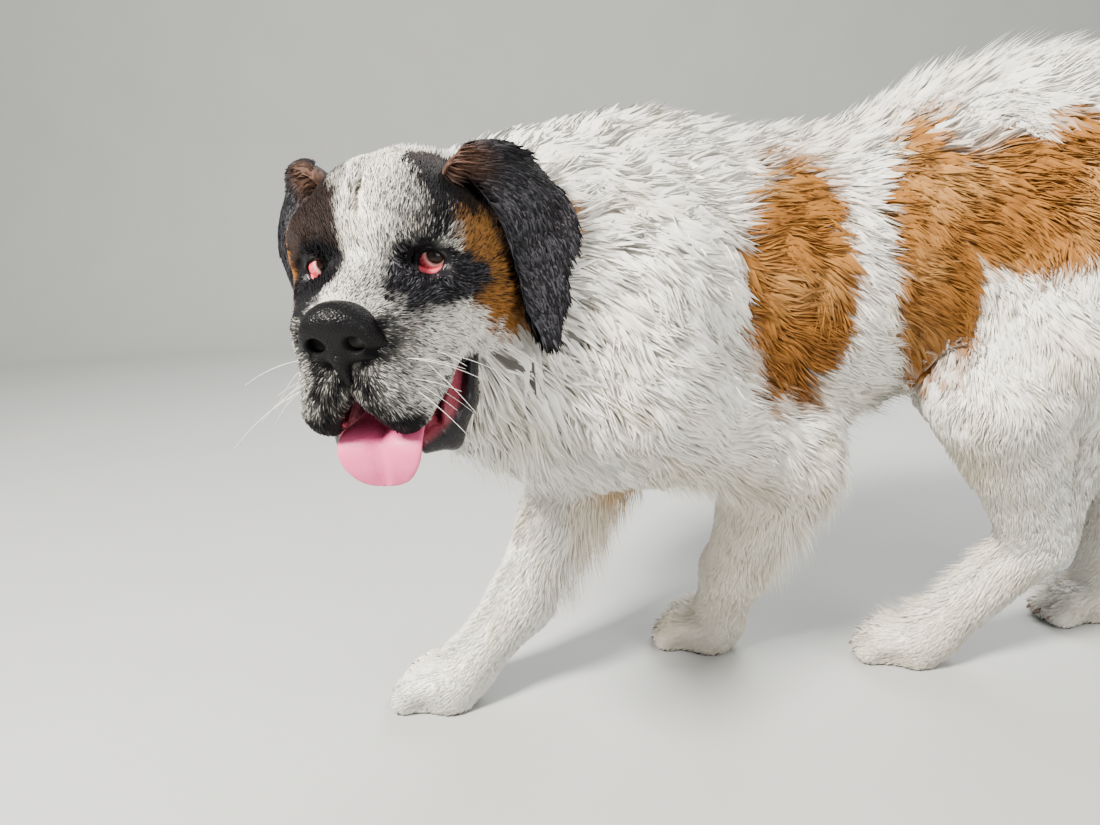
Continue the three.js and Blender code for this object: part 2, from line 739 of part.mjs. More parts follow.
// A block cut from a turned box: its centre, the directions of its sides and its full sizes
function cutter(centre, alongX, alongY, sizes, extra = 0) {
  const x = unit(alongX);
  const z = unit(cross(x, alongY));
  const y = cross(z, x);
  const box = new THREE.BoxGeometry(...sizes.map((v) => v + 2 * extra));
  box.deleteAttribute('normal');
  box.deleteAttribute('uv');
  const turn = new THREE.Matrix4().makeBasis(
    new THREE.Vector3(...x), new THREE.Vector3(...y), new THREE.Vector3(...z));
  turn.setPosition(...centre);
  box.applyMatrix4(turn);
  return solidOf(meshData(box));
}

function meshData(geometry) {
  const place = geometry.attributes.position;
  const points = [];
  for (let i = 0; i < place.count; i += 1) {
    points.push([place.getX(i), place.getY(i), place.getZ(i)]);
  }
  const faces = [];
  const index = geometry.index.array;
  for (let i = 0; i < index.length; i += 3) {
    faces.push([index[i], index[i + 1], index[i + 2]]);
  }
  return { points, faces };
}

// The half space on the far side of a plane, as a large block that stops short of it by gap
const vast = 3000;

function beyond(point, normal, gap = 0) {
  const n = unit(normal);
  const other = Math.abs(n[2]) < 0.9 ? [0, 0, 1] : [1, 0, 0];
  const centre = add(point, times(n, vast / 2 + gap));
  return cutter(centre, n, other, [vast, vast, vast]);
}

function largest(solid) {
  const pieces = solid.decompose();
  if (!pieces.length) {
    throw new Error('nothing left of a solid');
  }
  pieces.sort((a, b) => b.volume() - a.volume());
  return pieces[0];
}

// The seams between nodes. Each names a plane: a point on it and the way its far side lies.
const seams = {
  neckBase: { point: [92, -372, 600], normal: [0.5, -0.76, 0.42] },
  headBack: { point: fromHead([-98, 0, 0]), normal: sub(fromHead([0.86, 0, 0.5]), headPlace) },
  jawBack: { point: fromHead([-44, 0, 0]), normal: headAhead },
  foreLeft: { point: [90, -120, 352], normal: [0.44, 0.32, -0.84] },
  foreRight: { point: [20, -350, 322], normal: [0.05, -0.15, -0.98] },
  thigh: { point: [30, 250, 545], normal: [0, 0.62, -0.78] },
};
const midline = 30;
const tailRoot = 484;
const hockTop = 330;

const halfGap = seamGap / 2;
const planeSide = (seam, way) => beyond(seam.point, times(seam.normal, way), halfGap);
const pawSeam = (limb) => ({ point: limb.knuckle, normal: sub(limb.foot, limb.knuckle) });

const floorSide = beyond([0, 0, floorLevel], [0, 0, 1], 0);

// A seeded source of numbers from 0 to 1, so that the locks are drawn alike each time
function drawer(seed) {
  let state = seed;
  return () => {
    state = (state * 1664525 + 1013904223) % 4294967296;
    return state / 4294967296;
  };
}

// The way the hair lies at a point: backward over the trunk and downward on its sides, down the
// limbs, from the skull to the chest and along the tail. Nearer masses count the more.
const lieReach = 22;
const sideFall = 0.7;
const backFall = 0.12;

function lieAt(p) {
  const { i, t, ox, oy } = nearestStation(p);
  const a = trunkLine[i];
  const b = trunkLine[i + 1];
  const beside = clamp(Math.hypot(ox, oy) / mix(a.half, b.half, t), 0, 1);
  const aft = unit([b.x - a.x, b.y - a.y, 0]);
  const w = Math.exp(-Math.max(trunkAt(p).flesh, 0) / lieReach);
  let sum = times(add(aft, [0, 0, -backFall - sideFall * beside ** 2]), w);
  for (const piece of bodyBars) {
    const d = bar(p, piece.a, piece.b, piece.ra, piece.rb);
    const way = unit(piece.lie ?? sub(piece.b, piece.a));
    sum = add(sum, times(way, Math.exp(-Math.max(d, 0) / lieReach)));
  }
  const q = toHead(p);
  if (size(q) < headReach) {
    const cheek = clamp(Math.abs(q[1]) / 90, 0, 1);
    const way = sub(fromHead([-1, 0, -0.7 * cheek]), headPlace);
    sum = add(sum, times(way, 2 * Math.exp(-Math.max(headFlesh(q), 0) / lieReach)));
  }
  return unit(sum);
}

// A flat, tapered lock: four-sided sections along a path, the first sunk in the core, the last
// drawn out to a point. outs are the ways its flat side faces.
const lockWidths = [0.72, 1, 0.68];
const lockDepths = [1, 0.85, 0.6];
const lockThick = 7;

function lockSolid(path, outs, width, thick) {
  const points = [];
  const sections = path.length - 1;
  for (let n = 0; n < sections; n += 1) {
    const along = unit(sub(path[n + 1], path[Math.max(n - 1, 0)]));
    const across = unit(cross(along, outs[n]));
    const up = cross(across, along);
    const w = times(across, width * lockWidths[n] / 2);
    const h = times(up, thick * lockDepths[n] / 2);
    points.push(add(path[n], w), add(path[n], h), sub(path[n], w), sub(path[n], h));
  }
  points.push(path[sections]);
  const faces = [[0, 1, 3], [1, 2, 3]];
  for (let n = 0; n < sections; n += 1) {
    for (let k = 0; k < 4; k += 1) {
      const a = n * 4 + k;
      const b = n * 4 + (k + 1) % 4;
      if (n === sections - 1) {
        faces.push([a, sections * 4, b]);
      } else {
        faces.push([a, a + 4, b], [b, a + 4, b + 4]);
      }
    }
  }
  return solidOf({ points, faces });
}

// Laid locks: rooted all over the long coat, no two roots nearer than their widths allow. Each
// leaves its core, follows the lie at a rising share of the coat's depth and sways a little.
const lockShares = [0.12, 0.72, 0.98, 1.02];
const lockStops = [0, 0.4, 0.74, 1];
const rootLevel = (share) => (coat) => coat * share;
const drawLaid = drawer(11);

function onLevel(p, share) {
  const field = (q) => fieldAt(q, rootLevel(share));
  let place = p;
  for (let turn = 0; turn < 2; turn += 1) {
    const g = slope(field, place, 1);
    place = sub(place, times(g, field(place) / Math.max(dot(g, g), 0.2)));
  }
  return place;
}

function laidLock(root, coat) {
  const long = 104 + 1.7 * coat;
  const width = 66 + 0.3 * coat;
  const length = long * (0.85 + 0.35 * drawLaid());
  const sway = (drawLaid() - 0.5) * 0.36;
  const path = [];
  const outs = [];
  let place = onLevel(root, lockShares[0]);
  lockShares.forEach((share, n) => {
    if (n) {
      const last = path[n - 1];
      const out = outs[n - 1];
      const lie = lieAt(last);
      const flat = unit(sub(lie, times(out, dot(lie, out))));
      const turned = unit(add(flat, times(cross(out, flat), sway * n)));
      place = onLevel(add(last, times(turned, length * (lockStops[n] - lockStops[n - 1]))), share);
    }
    path.push(place);
    outs.push(unit(slope(coreField, place, 2)));
  });
  return lockSolid(path, outs, width * (0.85 + 0.3 * drawLaid()), lockThick + 0.1 * coat);
}

const rootPitch = 30;
const rootSpacing = 86;
const ruffSpacing = 69;
const alongStretch = 1.4;

function laidLocks() {
  const lines = [ruled(-240, rootPitch, 460), ruled(-700, rootPitch, tailRoot), ruled(120, rootPitch, 870)];
  const { points, faces } = surfaceOf(coreField, lines);
  const order = faces.map((face) => ({ face, rank: drawLaid() })).sort((a, b) => a.rank - b.rank);
  const roots = [];
  for (const { face } of order) {
    const p = face.map((id) => points[id]).reduce(add).map((v) => v / 3);
    const coat = coatAt(p);
    if (coat < longCoat) {
      continue;
    }
    const spacing = mix(rootSpacing, ruffSpacing, clamp((coat - 26) / 12, 0, 1));
    const lie = lieAt(p);
    const isNear = roots.some((other) => {
      const off = sub(p, other.p);
      const along = dot(off, lie);
      return dot(off, off) - along ** 2 * (1 - 1 / alongStretch ** 2) < spacing ** 2;
    });
    if (!isNear) {
      roots.push({ p, coat });
    }
  }
  return roots.map(({ p, coat }) => laidLock(p, coat));
}

function coatAt(p) {
  const q = toHead(p);
  const body = bodyAt(p);
  return size(q) < headReach && headFlesh(q) < body.flesh ? headCoat(q) : body.coat;
}

// Hanging locks: they leave a line on the body in fringes and droop along their length
const hangStops = [-0.12, 0.34, 0.7, 1];
const drawHang = drawer(23);

function hangingLock(root, way, length, width, out, droop = 0.25) {
  const sway = times(out, (drawHang() - 0.5) * 0.2 * length);
  const path = hangStops.map((s) => add(add(root, times(way, s * length)),
    add(times(sway, s * s), [0, 0, -droop * length * s * Math.abs(s)])));
  return lockSolid(path, path.map(() => out), width, lockThick);
}

// Fringe behind each foreleg from the elbow to above the wrist, in two rows
const fringe = { count: 7, from: -0.04, to: 0.72, length: [88, 40], width: [40, 26], rowGap: 11 };

function foreFringe(limb) {
  const locks = [];
  for (let n = 0; n < fringe.count; n += 1) {
    const t = n / (fringe.count - 1);
    const centre = between(limb.elbow, limb.wrist, mix(fringe.from, fringe.to, t));
    const behind = add(centre, [0, mix(34, 24, t), 0]);
    const row = n % 2 ? 1 : -1;
    const way = unit([0.1 * row, mix(0.55, 0.5, t), -0.9]);
    const length = mix(...fringe.length, t) * (0.9 + 0.2 * drawHang());
    locks.push(hangingLock(add(behind, [fringe.rowGap * row, 0, 0]), way, length, mix(...fringe.width, t),
      leftward, 0.1));
  }
  return locks;
}

// Fringe below the belly, on either side of the middle line
const bellyFringe = { count: 10, from: 2.6, to: 6.2, length: 74, width: 46, rowGap: 34 };

function bellyLocks() {
  const locks = [];
  for (let n = 0; n < bellyFringe.count; n += 1) {
    const at = mix(bellyFringe.from, bellyFringe.to, n / (bellyFringe.count - 1)) * trunkSteps;
    const station = trunkLine[Math.round(at)];
    const row = n % 2 ? 1 : -1;
    const root = [station.x + row * bellyFringe.rowGap, station.y, station.bottom - 4];
    locks.push(hangingLock(root, unit([0.12 * row, 0.4, -1]), bellyFringe.length * (0.8 + 0.4 * drawHang()),
      bellyFringe.width, leftward, 0.1));
  }
  return locks;
}

// Plume of the tail: rings of locks that leave it at a slant and fall away below it
const plume = { rings: 7, around: 3, slant: 0.5, length: [90, 140, 70], width: 56 };

function plumeLocks() {
  const locks = [];
  for (let n = 0; n < plume.rings; n += 1) {
    const t = (n + 0.6) / plume.rings;
    const step = t * (tailLine.length - 1);
    const at = [0, 1, 2].map((axis) => smoothRun(tailLine, (p) => p[axis], step));
    const next = [0, 1, 2].map((axis) => smoothRun(tailLine, (p) => p[axis], step + 0.2));
    const along = unit(sub(next, at));
    const across = unit(cross(along, [1, 0, 0]));
    const side = cross(across, along);
    const length = t < 0.5 ? mix(plume.length[0], plume.length[1], t * 2)
      : mix(plume.length[1], plume.length[2], t * 2 - 1);
    for (let k = 0; k < plume.around; k += 1) {
      const angle = (k + (n % 2) / 2) / plume.around * Math.PI * 2;
      const out = add(times(across, Math.cos(angle)), times(side, Math.sin(angle)));
      const way = unit(add(along, times(out, plume.slant)));
      const root = add(at, times(out, smoothRun(tailRadii, (r) => r, step)));
      locks.push(hangingLock(root, way, length * (0.85 + 0.3 * drawHang()), plume.width, out, 0.12));
    }
  }
  return locks;
}

// Claws: short blunt horns out of the front of each toe, sunk in it
const claw = { length: 17, radius: 5.2, sides: 5 };

function clawSolid(root, way) {
  const across = unit(cross(way, [0, 0, 1]));
  const rings = [[-0.5, 1], [0.45, 0.75], [1, 0.2]].map(([s, share]) => {
    const centre = add(root, add(times(way, s * claw.length), [0, 0, -5 * Math.max(s, 0) ** 2]));
    const up = cross(across, way);
    return Array.from({ length: claw.sides }, (_, n) => {
      const angle = n / claw.sides * Math.PI * 2;
      const r = claw.radius * share;
      return add(centre, add(times(across, Math.cos(angle) * r), times(up, Math.sin(angle) * r)));
    });
  });
  return solidOf(ringed(rings));
}

const nodes = {};

// How far a surface may shift where short edges close after the locks are joined on
const lockTolerance = 1.4;

// The animal's core within grid lines, with every lock and claw that reaches in there joined on
function fleshSolid(lines, wanted, extras = []) {
  const core = solidOf(thinned(surfaceOf(coreField, lines), wanted));
  const low = lines.map((line) => line[0]);
  const high = lines.map((line) => line[line.length - 1]);
  const reaching = coatLocks.filter((lock) => {
    const box = lock.boundingBox();
    return [0, 1, 2].every((axis) => box.max[axis] > low[axis] && box.min[axis] < high[axis]);
  });
  return wasm.Manifold.union([core, ...reaching, ...extras]).simplify(lockTolerance);
}

function withinBox(low, high) {
  const centre = between(low, high, 0.5);
  return cutter(centre, [1, 0, 0], [0, 1, 0], sub(high, low));
}

// The tail's zone: all behind a plane at its root, narrower where the right hock stands beside it
function tailZone(extra) {
  const upper = withinBox([-80 - extra, tailRoot - extra, hockTop - 10], [200, 800, 900]);
  const lower = withinBox([-8 - extra, tailRoot - extra, 150], [200, 800, hockTop]);
  return upper.add(lower);
}

// Trunk, parted from the neck, the limbs and the tail
const legZones = {
  foreLeft: { low: [-200, -300, -60], high: [330, -16, 700], seam: seams.foreLeft },
  foreRight: { low: [-260, -760, -60], high: [330, -300, 700], seam: seams.foreRight },
};

function buildTorso() {
  let solid = fleshSolid([ruled(-190, 20, 270), ruled(-520, 20, 540), ruled(220, 20, 850)], 1000);
  solid = solid.intersect(planeSide(seams.neckBase, -1));
  solid = solid.subtract(tailZone(halfGap));
  for (const zone of Object.values(legZones)) {
    solid = solid.subtract(withinBox(zone.low, zone.high).intersect(beyond(zone.seam.point,
      zone.seam.normal, -halfGap)));
  }
  const thighs = withinBox([-300, -60, -60], [400, 700, 760]);
  solid = solid.subtract(thighs.intersect(beyond(seams.thigh.point, seams.thigh.normal, -halfGap)));
  return largest(solid);
}

function buildNeck() {
  let solid = fleshSolid([ruled(-60, 18, 360), ruled(-640, 18, -230), ruled(300, 18, 850)], 700);
  solid = solid.intersect(planeSide(seams.neckBase, 1));
  solid = solid.intersect(planeSide(seams.headBack, -1));
  return largest(solid);
}

function clawsOf(limb, sizes) {
  const ahead = unit(sub(limb.toe, limb.foot));
  const toes = pawBars(limb, sizes).filter((piece) => piece.isToeTip);
  return toes.map((toe) => clawSolid(add(toe.b, add(times(ahead, toe.rb - 4), [0, 0, 3])),
    unit(add(ahead, [0, 0, -0.25]))));
}

function buildForeleg(name, limb, zone) {
  const { low, high } = zone;
  const reach = Object.values(limb);
  const lines = [0, 1].map((axis) => ruled(
    Math.max(Math.min(...reach.map((p) => p[axis])) - 90, low[axis]), 13,
    Math.min(Math.max(...reach.map((p) => p[axis])) + 90, high[axis])));
  const leg = fleshSolid([...lines, ruled(-24, 12, 470)], 740, clawsOf(limb, pawSizes.fore));
  const foot = pawSeam(limb);
  let upper = leg.intersect(beyond(zone.seam.point, zone.seam.normal, halfGap));
  upper = upper.intersect(withinBox(add(low, [halfGap, halfGap, 0]), sub(high, [halfGap, halfGap, 0])));
  nodes[`foreleg_${name}`] = largest(upper.intersect(planeSide(foot, -1)));
  nodes[`fore_paw_${name}`] = largest(upper.intersect(planeSide(foot, 1)).intersect(floorSide));
}

function buildHindleg(name, limb, side) {
  const reach = Object.values(limb);
  const lines = [0, 1].map((axis) => ruled(
    Math.min(...reach.map((p) => p[axis])) - 120, 15, Math.max(...reach.map((p) => p[axis])) + 120));
  const leg = fleshSolid([...lines, ruled(-24, 12, 760)], 980, clawsOf(limb, pawSizes.hind));
  const foot = pawSeam(limb);
  const knee = between(limb.stifle, limb.hock, 0.3);
  const kneeSeam = { point: knee, normal: unit(sub(limb.hock, limb.stifle)) };
  let whole = leg.intersect(beyond(seams.thigh.point, seams.thigh.normal, halfGap));
  whole = whole.intersect(withinBox([-300, -60, -60], [400, 700, 760]));
  whole = whole.intersect(beyond([midline, 0, 0], [side, 0, 0], halfGap));
  whole = whole.subtract(tailZone(halfGap));
  nodes[`thigh_${name}`] = largest(whole.intersect(planeSide(kneeSeam, -1)));
  const lower = whole.intersect(planeSide(kneeSeam, 1));
  const hockSeam = { point: limb.hock, normal: unit(sub(limb.knuckle, limb.stifle)) };
  const shank = lower.intersect(planeSide(hockSeam, 1));
  nodes[`hindleg_${name}`] = largest(lower.intersect(planeSide(hockSeam, -1)));
  nodes[`hind_pastern_${name}`] = largest(shank.intersect(planeSide(foot, -1)));
  nodes[`hind_paw_${name}`] = largest(shank.intersect(planeSide(foot, 1)).intersect(floorSide));
}

function buildTail() {
  const solid = fleshSolid([ruled(-60, 14, 190), ruled(450, 14, 740), ruled(160, 14, 800)], 170);
  return largest(solid.intersect(tailZone(-halfGap)));
}

// Nose leather: a broad pad cut off by a sloping front, with two comma-shaped nostrils and a groove
const noseFront = { point: [121, 0, -36], normal: unit([1, 0, -0.42]) };

function noseField(q) {
  const m = mirrored(q);
  let d = egg(m, nosePlace, [25, noseHalfWidth, 26]);
  d = meld(d, bar(m, [106, 17, -52], [98, 27, -54], 14, 11), 8);
  d = hollow(d, -dot(sub(q, noseFront.point), noseFront.normal), 9);
  d = meld(d, bar(m, [108, 0, -64], [100, 0, -82], 7, 4.5), 7);
  d = hollow(d, bar(m, [130, 13, -52], [104, 16, -48], 7, 8), 4);
  d = hollow(d, bar(m, [122, 18, -55], [98, 38, -60], 4.2, 5.2), 3);
  return hollow(d, bar(m, [124, 0, -50], [106, 0, -98], 2.2, 2.6), 2);
}

// Grid lines laid out in the head frame and mirrored about its middle, so both sides are alike
function mirroredLines(...stops) {
  const side = ruled(0, ...stops);
  return [...side.slice(1).map((v) => -v).reverse(), ...side];
}

// A surface of a field in the head frame. grow moves it outward, for the gap to what it cuts.
const headSurfaces = new Map();

function headSolid(field, lines, wanted, grow = 0) {
  const known = headSurfaces.get(field) ?? { fine: surfaceOf(field, lines) };
  headSurfaces.set(field, known);
  known[wanted] ??= thinned(known.fine, wanted);
  const { points, faces } = known[wanted];
  const moved = grow ? points.map((p) => add(p, times(unit(slope(field, p)), grow))) : points;
  return solidOf({ points: moved.map(fromHead), faces });
}

const noseLines = [ruled(66, 4, 146), mirroredLines(4, 48), ruled(-110, 4, -6)];
const headLines = [ruled(-190, 11, -30, 5, 130), mirroredLines(7, 35, 4.5, 71, 8, 135),
  ruled(-164, 7, -20, 4.5, 16, 10, 126)];
const headTriangles = 2400;
const noseTriangles = 290;
const jawTriangles = 400;
const headFieldHere = (q) => coreField(fromHead(q));

const eyeFaces = { around: 11, rings: 7 };
const eyeSides = { left: 1, right: -1 };

function eyeball(radius, way) {
  const centre = [eyePlace[0], eyePlace[1] * way, eyePlace[2]];
  const ball = new THREE.SphereGeometry(radius, eyeFaces.around, eyeFaces.rings);
  ball.deleteAttribute('normal');
  ball.deleteAttribute('uv');
  const data = meshData(ball);
  const points = data.points.map((p) => fromHead(add(centre, p)));
  const faces = data.faces.filter(([a, b, c]) => {
    const area = cross(sub(points[b], points[a]), sub(points[c], points[a]));
    return size(area) > 1e-6;
  });
  return solidOf({ points, faces });
}

function buildHead() {
  const all = headSolid(headFieldHere, headLines, headTriangles);
  let solid = all.intersect(planeSide(seams.headBack, 1));
  solid = solid.subtract(headSolid(noseField, noseLines, noseTriangles, seamGap));
  for (const way of Object.values(eyeSides)) {
    solid = solid.subtract(eyeball(eyeRadius + seamGap, way));
  }
  return largest(solid);
}

// The slack lower lip turns out below the corner of the mouth and runs forward along the jaw
const lipBars = [
  { a: [-34, 71, -80], b: [-4, 69, -132], ra: 8, rb: 12, flat: [[0, 1, 0], 1.8] },
  { a: [-4, 69, -132], b: [12, 53, -160], ra: 12, rb: 16, flat: [[0, 1, 0], 1.8] },
  { a: [12, 53, -160], b: [46, 38, -158], ra: 16, rb: 10, flat: [[0, 1, 0], 1.6] },
];

// Thin flesh of the cheek that closes the corner of the mouth between the upper and the lower lip
const cheekLining = { a: [-40, 60, -92], b: [14, 53, -140], ra: 18, rb: 18, flat: [[0, 1, 0], 3] };

// Lower jaw: swings down from its hinge behind the corner of the mouth
const jawHinge = [-56, 0, -52];

function toJaw(q) {
  const a = degrees(jawDrop);
  const r = sub(q, jawHinge);
  return [r[0] * Math.cos(a) - r[2] * Math.sin(a), Math.abs(r[1]), r[0] * Math.sin(a) + r[2] * Math.cos(a)];
}

function jawField(q) {
  const m = toJaw(q);
  let d = bar(m, [14, 42, -36], [112, 24, -48], 21, 17);
  d = meld(d, bar(m, [112, 24, -48], [138, 0, -48], 17, 17), 12);
  d = meld(d, egg(m, [72, 0, -58], [66, 34, 20]), 20);
  for (const lip of [...lipBars, cheekLining]) {
    d = meld(d, bar(mirrored(q), lip.a, lip.b, lip.ra, lip.rb, lip.flat), 8);
  }
  return d - faceCoat;
}

const jawLines = [ruled(-84, 6, 96), mirroredLines(6, 102), ruled(-216, 6, -40)];

function buildJaw() {
  let solid = headSolid(jawField, jawLines, jawTriangles);
  solid = solid.subtract(headSolid(headFieldHere, headLines, headTriangles, 2 * seamGap));
  solid = solid.subtract(tongueSolid(2 * seamGap));
  solid = solid.intersect(planeSide(seams.jawBack, 1)).intersect(planeSide(seams.headBack, 1));
  return largest(solid.simplify(seamGap));
}

// A closed tube of ringed sections: rings of points from one end to the other, ends fanned
function ringed(rings) {
  const around = rings[0].length;
  const points = rings.flat();
  const faces = [];
  for (let r = 0; r < rings.length - 1; r += 1) {
    for (let n = 0; n < around; n += 1) {
      const a = r * around + n;
      const b = r * around + (n + 1) % around;
      faces.push([a, b, b + around], [a, b + around, a + around]);
    }
  }
  for (const [ring, flip] of [[0, true], [rings.length - 1, false]]) {
    const centre = rings[ring].reduce(add).map((v) => v / around);
    const hub = points.length;
    points.push(centre);
    for (let n = 0; n < around; n += 1) {
      const a = ring * around + n;
      const b = ring * around + (n + 1) % around;
      faces.push(flip ? [b, a, hub] : [a, b, hub]);
    }
  }
  return { points, faces };
}

// Tongue: lies in the lower jaw, folds over its edge and hangs, broad and grooved
const tongueLine = [[-22, 2, -116], [12, 4, -130], [42, 6, -140], [64, 8, -142], [77, 8, -149], [80, 8, -166],
  [77, 8, -184]];
const tongueHalfWidths = [20, 26, 32, 36, 38, 36, 22];
const tongueThick = [10, 9, 8, 7, 6.5, 6, 4];

function tongueSolid(extra = 0) {
  const around = 12;
  const rings = tongueLine.map((centre, i) => {
    const before = tongueLine[Math.max(i - 1, 0)];
    const after = tongueLine[Math.min(i + 1, tongueLine.length - 1)];
    const along = unit(sub(after, before));
    const across = [0, 1, 0];
    const up = unit(cross(along, across));
    const ring = [];
    for (let n = 0; n < around; n += 1) {
      const angle = -n / around * Math.PI * 2;
      const w = Math.cos(angle) * (tongueHalfWidths[i] + extra);
      const top = Math.sin(angle) > 0;
      const groove = top ? 1 - 0.5 * Math.exp(-((Math.cos(angle) / 0.3) ** 2)) : 1;
      const h = Math.sin(angle) * (tongueThick[i] * groove + extra);
      ring.push(fromHead(add(centre, add(times(across, w), times(up, h)))));
    }
    return ring;
  });
  const ends = [times(unit(sub(tongueLine[0], tongueLine[1])), extra),
    times(unit(sub(tongueLine[6], tongueLine[5])), extra)];
  const shift = (ring, by) => ring.map((p) => add(p, sub(fromHead(by), headPlace)));
  rings[0] = shift(rings[0], ends[0]);
  rings[6] = shift(rings[6], ends[1]);
  return solidOf(ringed(rings));
}

// Ear: a thick leaf hung from a fold above the cheek, its width and thickness named along it
const earSections = [
  { front: [-44, 50, 66], back: [-104, 70, 50], thick: 15, free: false },
  { front: [-42, 62, 82], back: [-104, 92, 74], thick: 15, free: false },
  { front: [-46, 74, 82], back: [-106, 112, 82], thick: 13, free: false },
  { front: [-52, 80, 56], back: [-114, 128, 70], thick: 10, free: true },
  { front: [-56, 93, 12], back: [-128, 158, 22], thick: 10, free: true },
  { front: [-60, 101, -32], back: [-122, 146, -28], thick: 9, free: true },
  { front: [-66, 107, -64], back: [-112, 130, -64], thick: 8, free: true },
  { front: [-76, 112, -84], back: [-98, 120, -86], thick: 5, free: true },
];
const earClearance = 5;

// Lifts a point until it lies clear of the coat
const outerField = (p) => fieldAt(p, (coat) => coat);

function liftedClear(p) {
  const depth = outerField(p);
  return depth < earClearance ? add(p, times(unit(slope(outerField, p)), earClearance - depth)) : p;
}

function earSolid(way, grow = 0) {
  const around = 12;
  const rings = earSections.map((s, i) => {
    const centre = between(s.front, s.back, 0.5);
    const reach = sub(s.front, centre);
    const before = earSections[Math.max(i - 1, 0)];
    const after = earSections[Math.min(i + 1, earSections.length - 1)];
    const along = sub(between(after.front, after.back, 0.5), between(before.front, before.back, 0.5));
    const out = unit(cross(reach, along));
    const ring = [];
    for (let n = 0; n < around; n += 1) {
      const angle = n / around * Math.PI * 2;
      const bulge = Math.sin(angle) > 0 ? 1 : 0.5;
      const cup = 8 * (Math.cos(angle) ** 2);
      const lift = Math.sin(angle) * (s.thick * bulge + grow) - cup;
      const wide = Math.cos(angle) * (1 + grow / size(reach));
      const p = add(centre, add(times(reach, wide), times(out, lift)));
      const world = fromHead([p[0], p[1] * way, p[2]]);
      ring.push(s.free ? liftedClear(world) : world);
    }
    return way > 0 ? ring : ring.reverse();
  });
  return solidOf(ringed(rings));
}

// Every lock of the coat, without those that would run into an ear or the lower jaw
function allLocks() {
  const inTheWay = [earSolid(1, seamGap), earSolid(-1, seamGap),
    headSolid(jawField, jawLines, jawTriangles, seamGap)];
  const locks = [
    ...laidLocks(),
    ...Object.values(foreLimbs).flatMap(foreFringe),
    ...bellyLocks(),
    ...plumeLocks(),
  ];
  return locks.filter((lock) => inTheWay.every((solid) => lock.intersect(solid).isEmpty()));
}

const coatLocks = allLocks();

function build() {
  nodes.torso = buildTorso();
  nodes.neck = buildNeck();
  buildForeleg('left', foreLimbs.left, legZones.foreLeft);
  buildForeleg('right', foreLimbs.right, legZones.foreRight);
  buildHindleg('left', hindLimbs.left, 1);
  buildHindleg('right', hindLimbs.right, -1);
  nodes.tail = buildTail();
  nodes.head = buildHead();
  nodes.nose = headSolid(noseField, noseLines, noseTriangles);
  nodes.lower_jaw = buildJaw();
  const headGrown = headSolid(headFieldHere, headLines, headTriangles, seamGap);
  nodes.tongue = largest(tongueSolid().subtract(headGrown));
  for (const [side, way] of Object.entries(eyeSides)) {
    nodes[`eye_${side}`] = eyeball(eyeRadius, way);
    nodes[`ear_${side}`] = largest(earSolid(way).subtract(headGrown));
  }
}

build();

// Finishes
const coatWhite = { color: 0xe9e4da, roughness: 0.9, metalness: 0 };
const finishes = {
  nose: { color: 0x15130f, roughness: 0.35, metalness: 0 },
  tongue: { color: 0xd9788a, roughness: 0.4, metalness: 0 },
  eye: { color: 0x2a140c, roughness: 0.1, metalness: 0 },
  ear: { color: 0x1b1512, roughness: 0.9, metalness: 0 },
};

// Where a surface touches itself at a point, each of the vertices there draws back a little toward
// its own neighbours
const drawBack = 0.2;

function parted(places, corners) {
  const count = places.length / 3;
  const sums = new Float64Array(places.length);
  const degree = new Float64Array(count);
  for (let i = 0; i < corners.length; i += 1) {
    const here = corners[i];
    const next = corners[i % 3 === 2 ? i - 2 : i + 1];
    degree[here] += 1;
    for (let axis = 0; axis < 3; axis += 1) {
      sums[here * 3 + axis] += places[next * 3 + axis];
    }
  }
  const keyOf = (id) => [0, 1, 2].map((axis) => places[id * 3 + axis].toFixed(2)).join();
  const seen = new Map();
  for (let id = 0; id < count; id += 1) {
    const key = keyOf(id);
    seen.set(key, [...(seen.get(key) ?? []), id]);
  }
  for (const id of [...seen.values()].filter((ids) => ids.length > 1).flat()) {
    const here = [0, 1, 2].map((axis) => places[id * 3 + axis]);
    const way = sub([0, 1, 2].map((axis) => sums[id * 3 + axis] / degree[id]), here);
    const moved = add(here, times(unit(way), drawBack));
    moved.forEach((v, axis) => { places[id * 3 + axis] = v; });
  }
}

const shortEdge = 0.05;
const figure = new THREE.Group();
for (const [name, solid] of Object.entries(nodes)) {
  const raw = largest(solid.simplify(shortEdge)).getMesh();
  parted(raw.vertProperties, raw.triVerts);
  const geometry = new THREE.BufferGeometry();
  geometry.setAttribute('position', new THREE.BufferAttribute(raw.vertProperties, 3));
  geometry.setIndex(new THREE.BufferAttribute(raw.triVerts, 1));
  geometry.computeVertexNormals();
  const kind = name.split('_')[0];
  const mesh = new THREE.Mesh(geometry, new THREE.MeshStandardMaterial(finishes[kind] ?? coatWhite));
  mesh.name = name;
  figure.add(mesh);
}

// The origin is the middle of the bounding box on the floor
const bounds = new THREE.Box3().setFromObject(figure);
const middle = bounds.getCenter(new THREE.Vector3());
figure.position.set(-middle.x, -middle.y, -floorLevel);

export default figure;
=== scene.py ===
import bpy
import numpy as np
from mathutils import Matrix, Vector
from mathutils.kdtree import KDTree


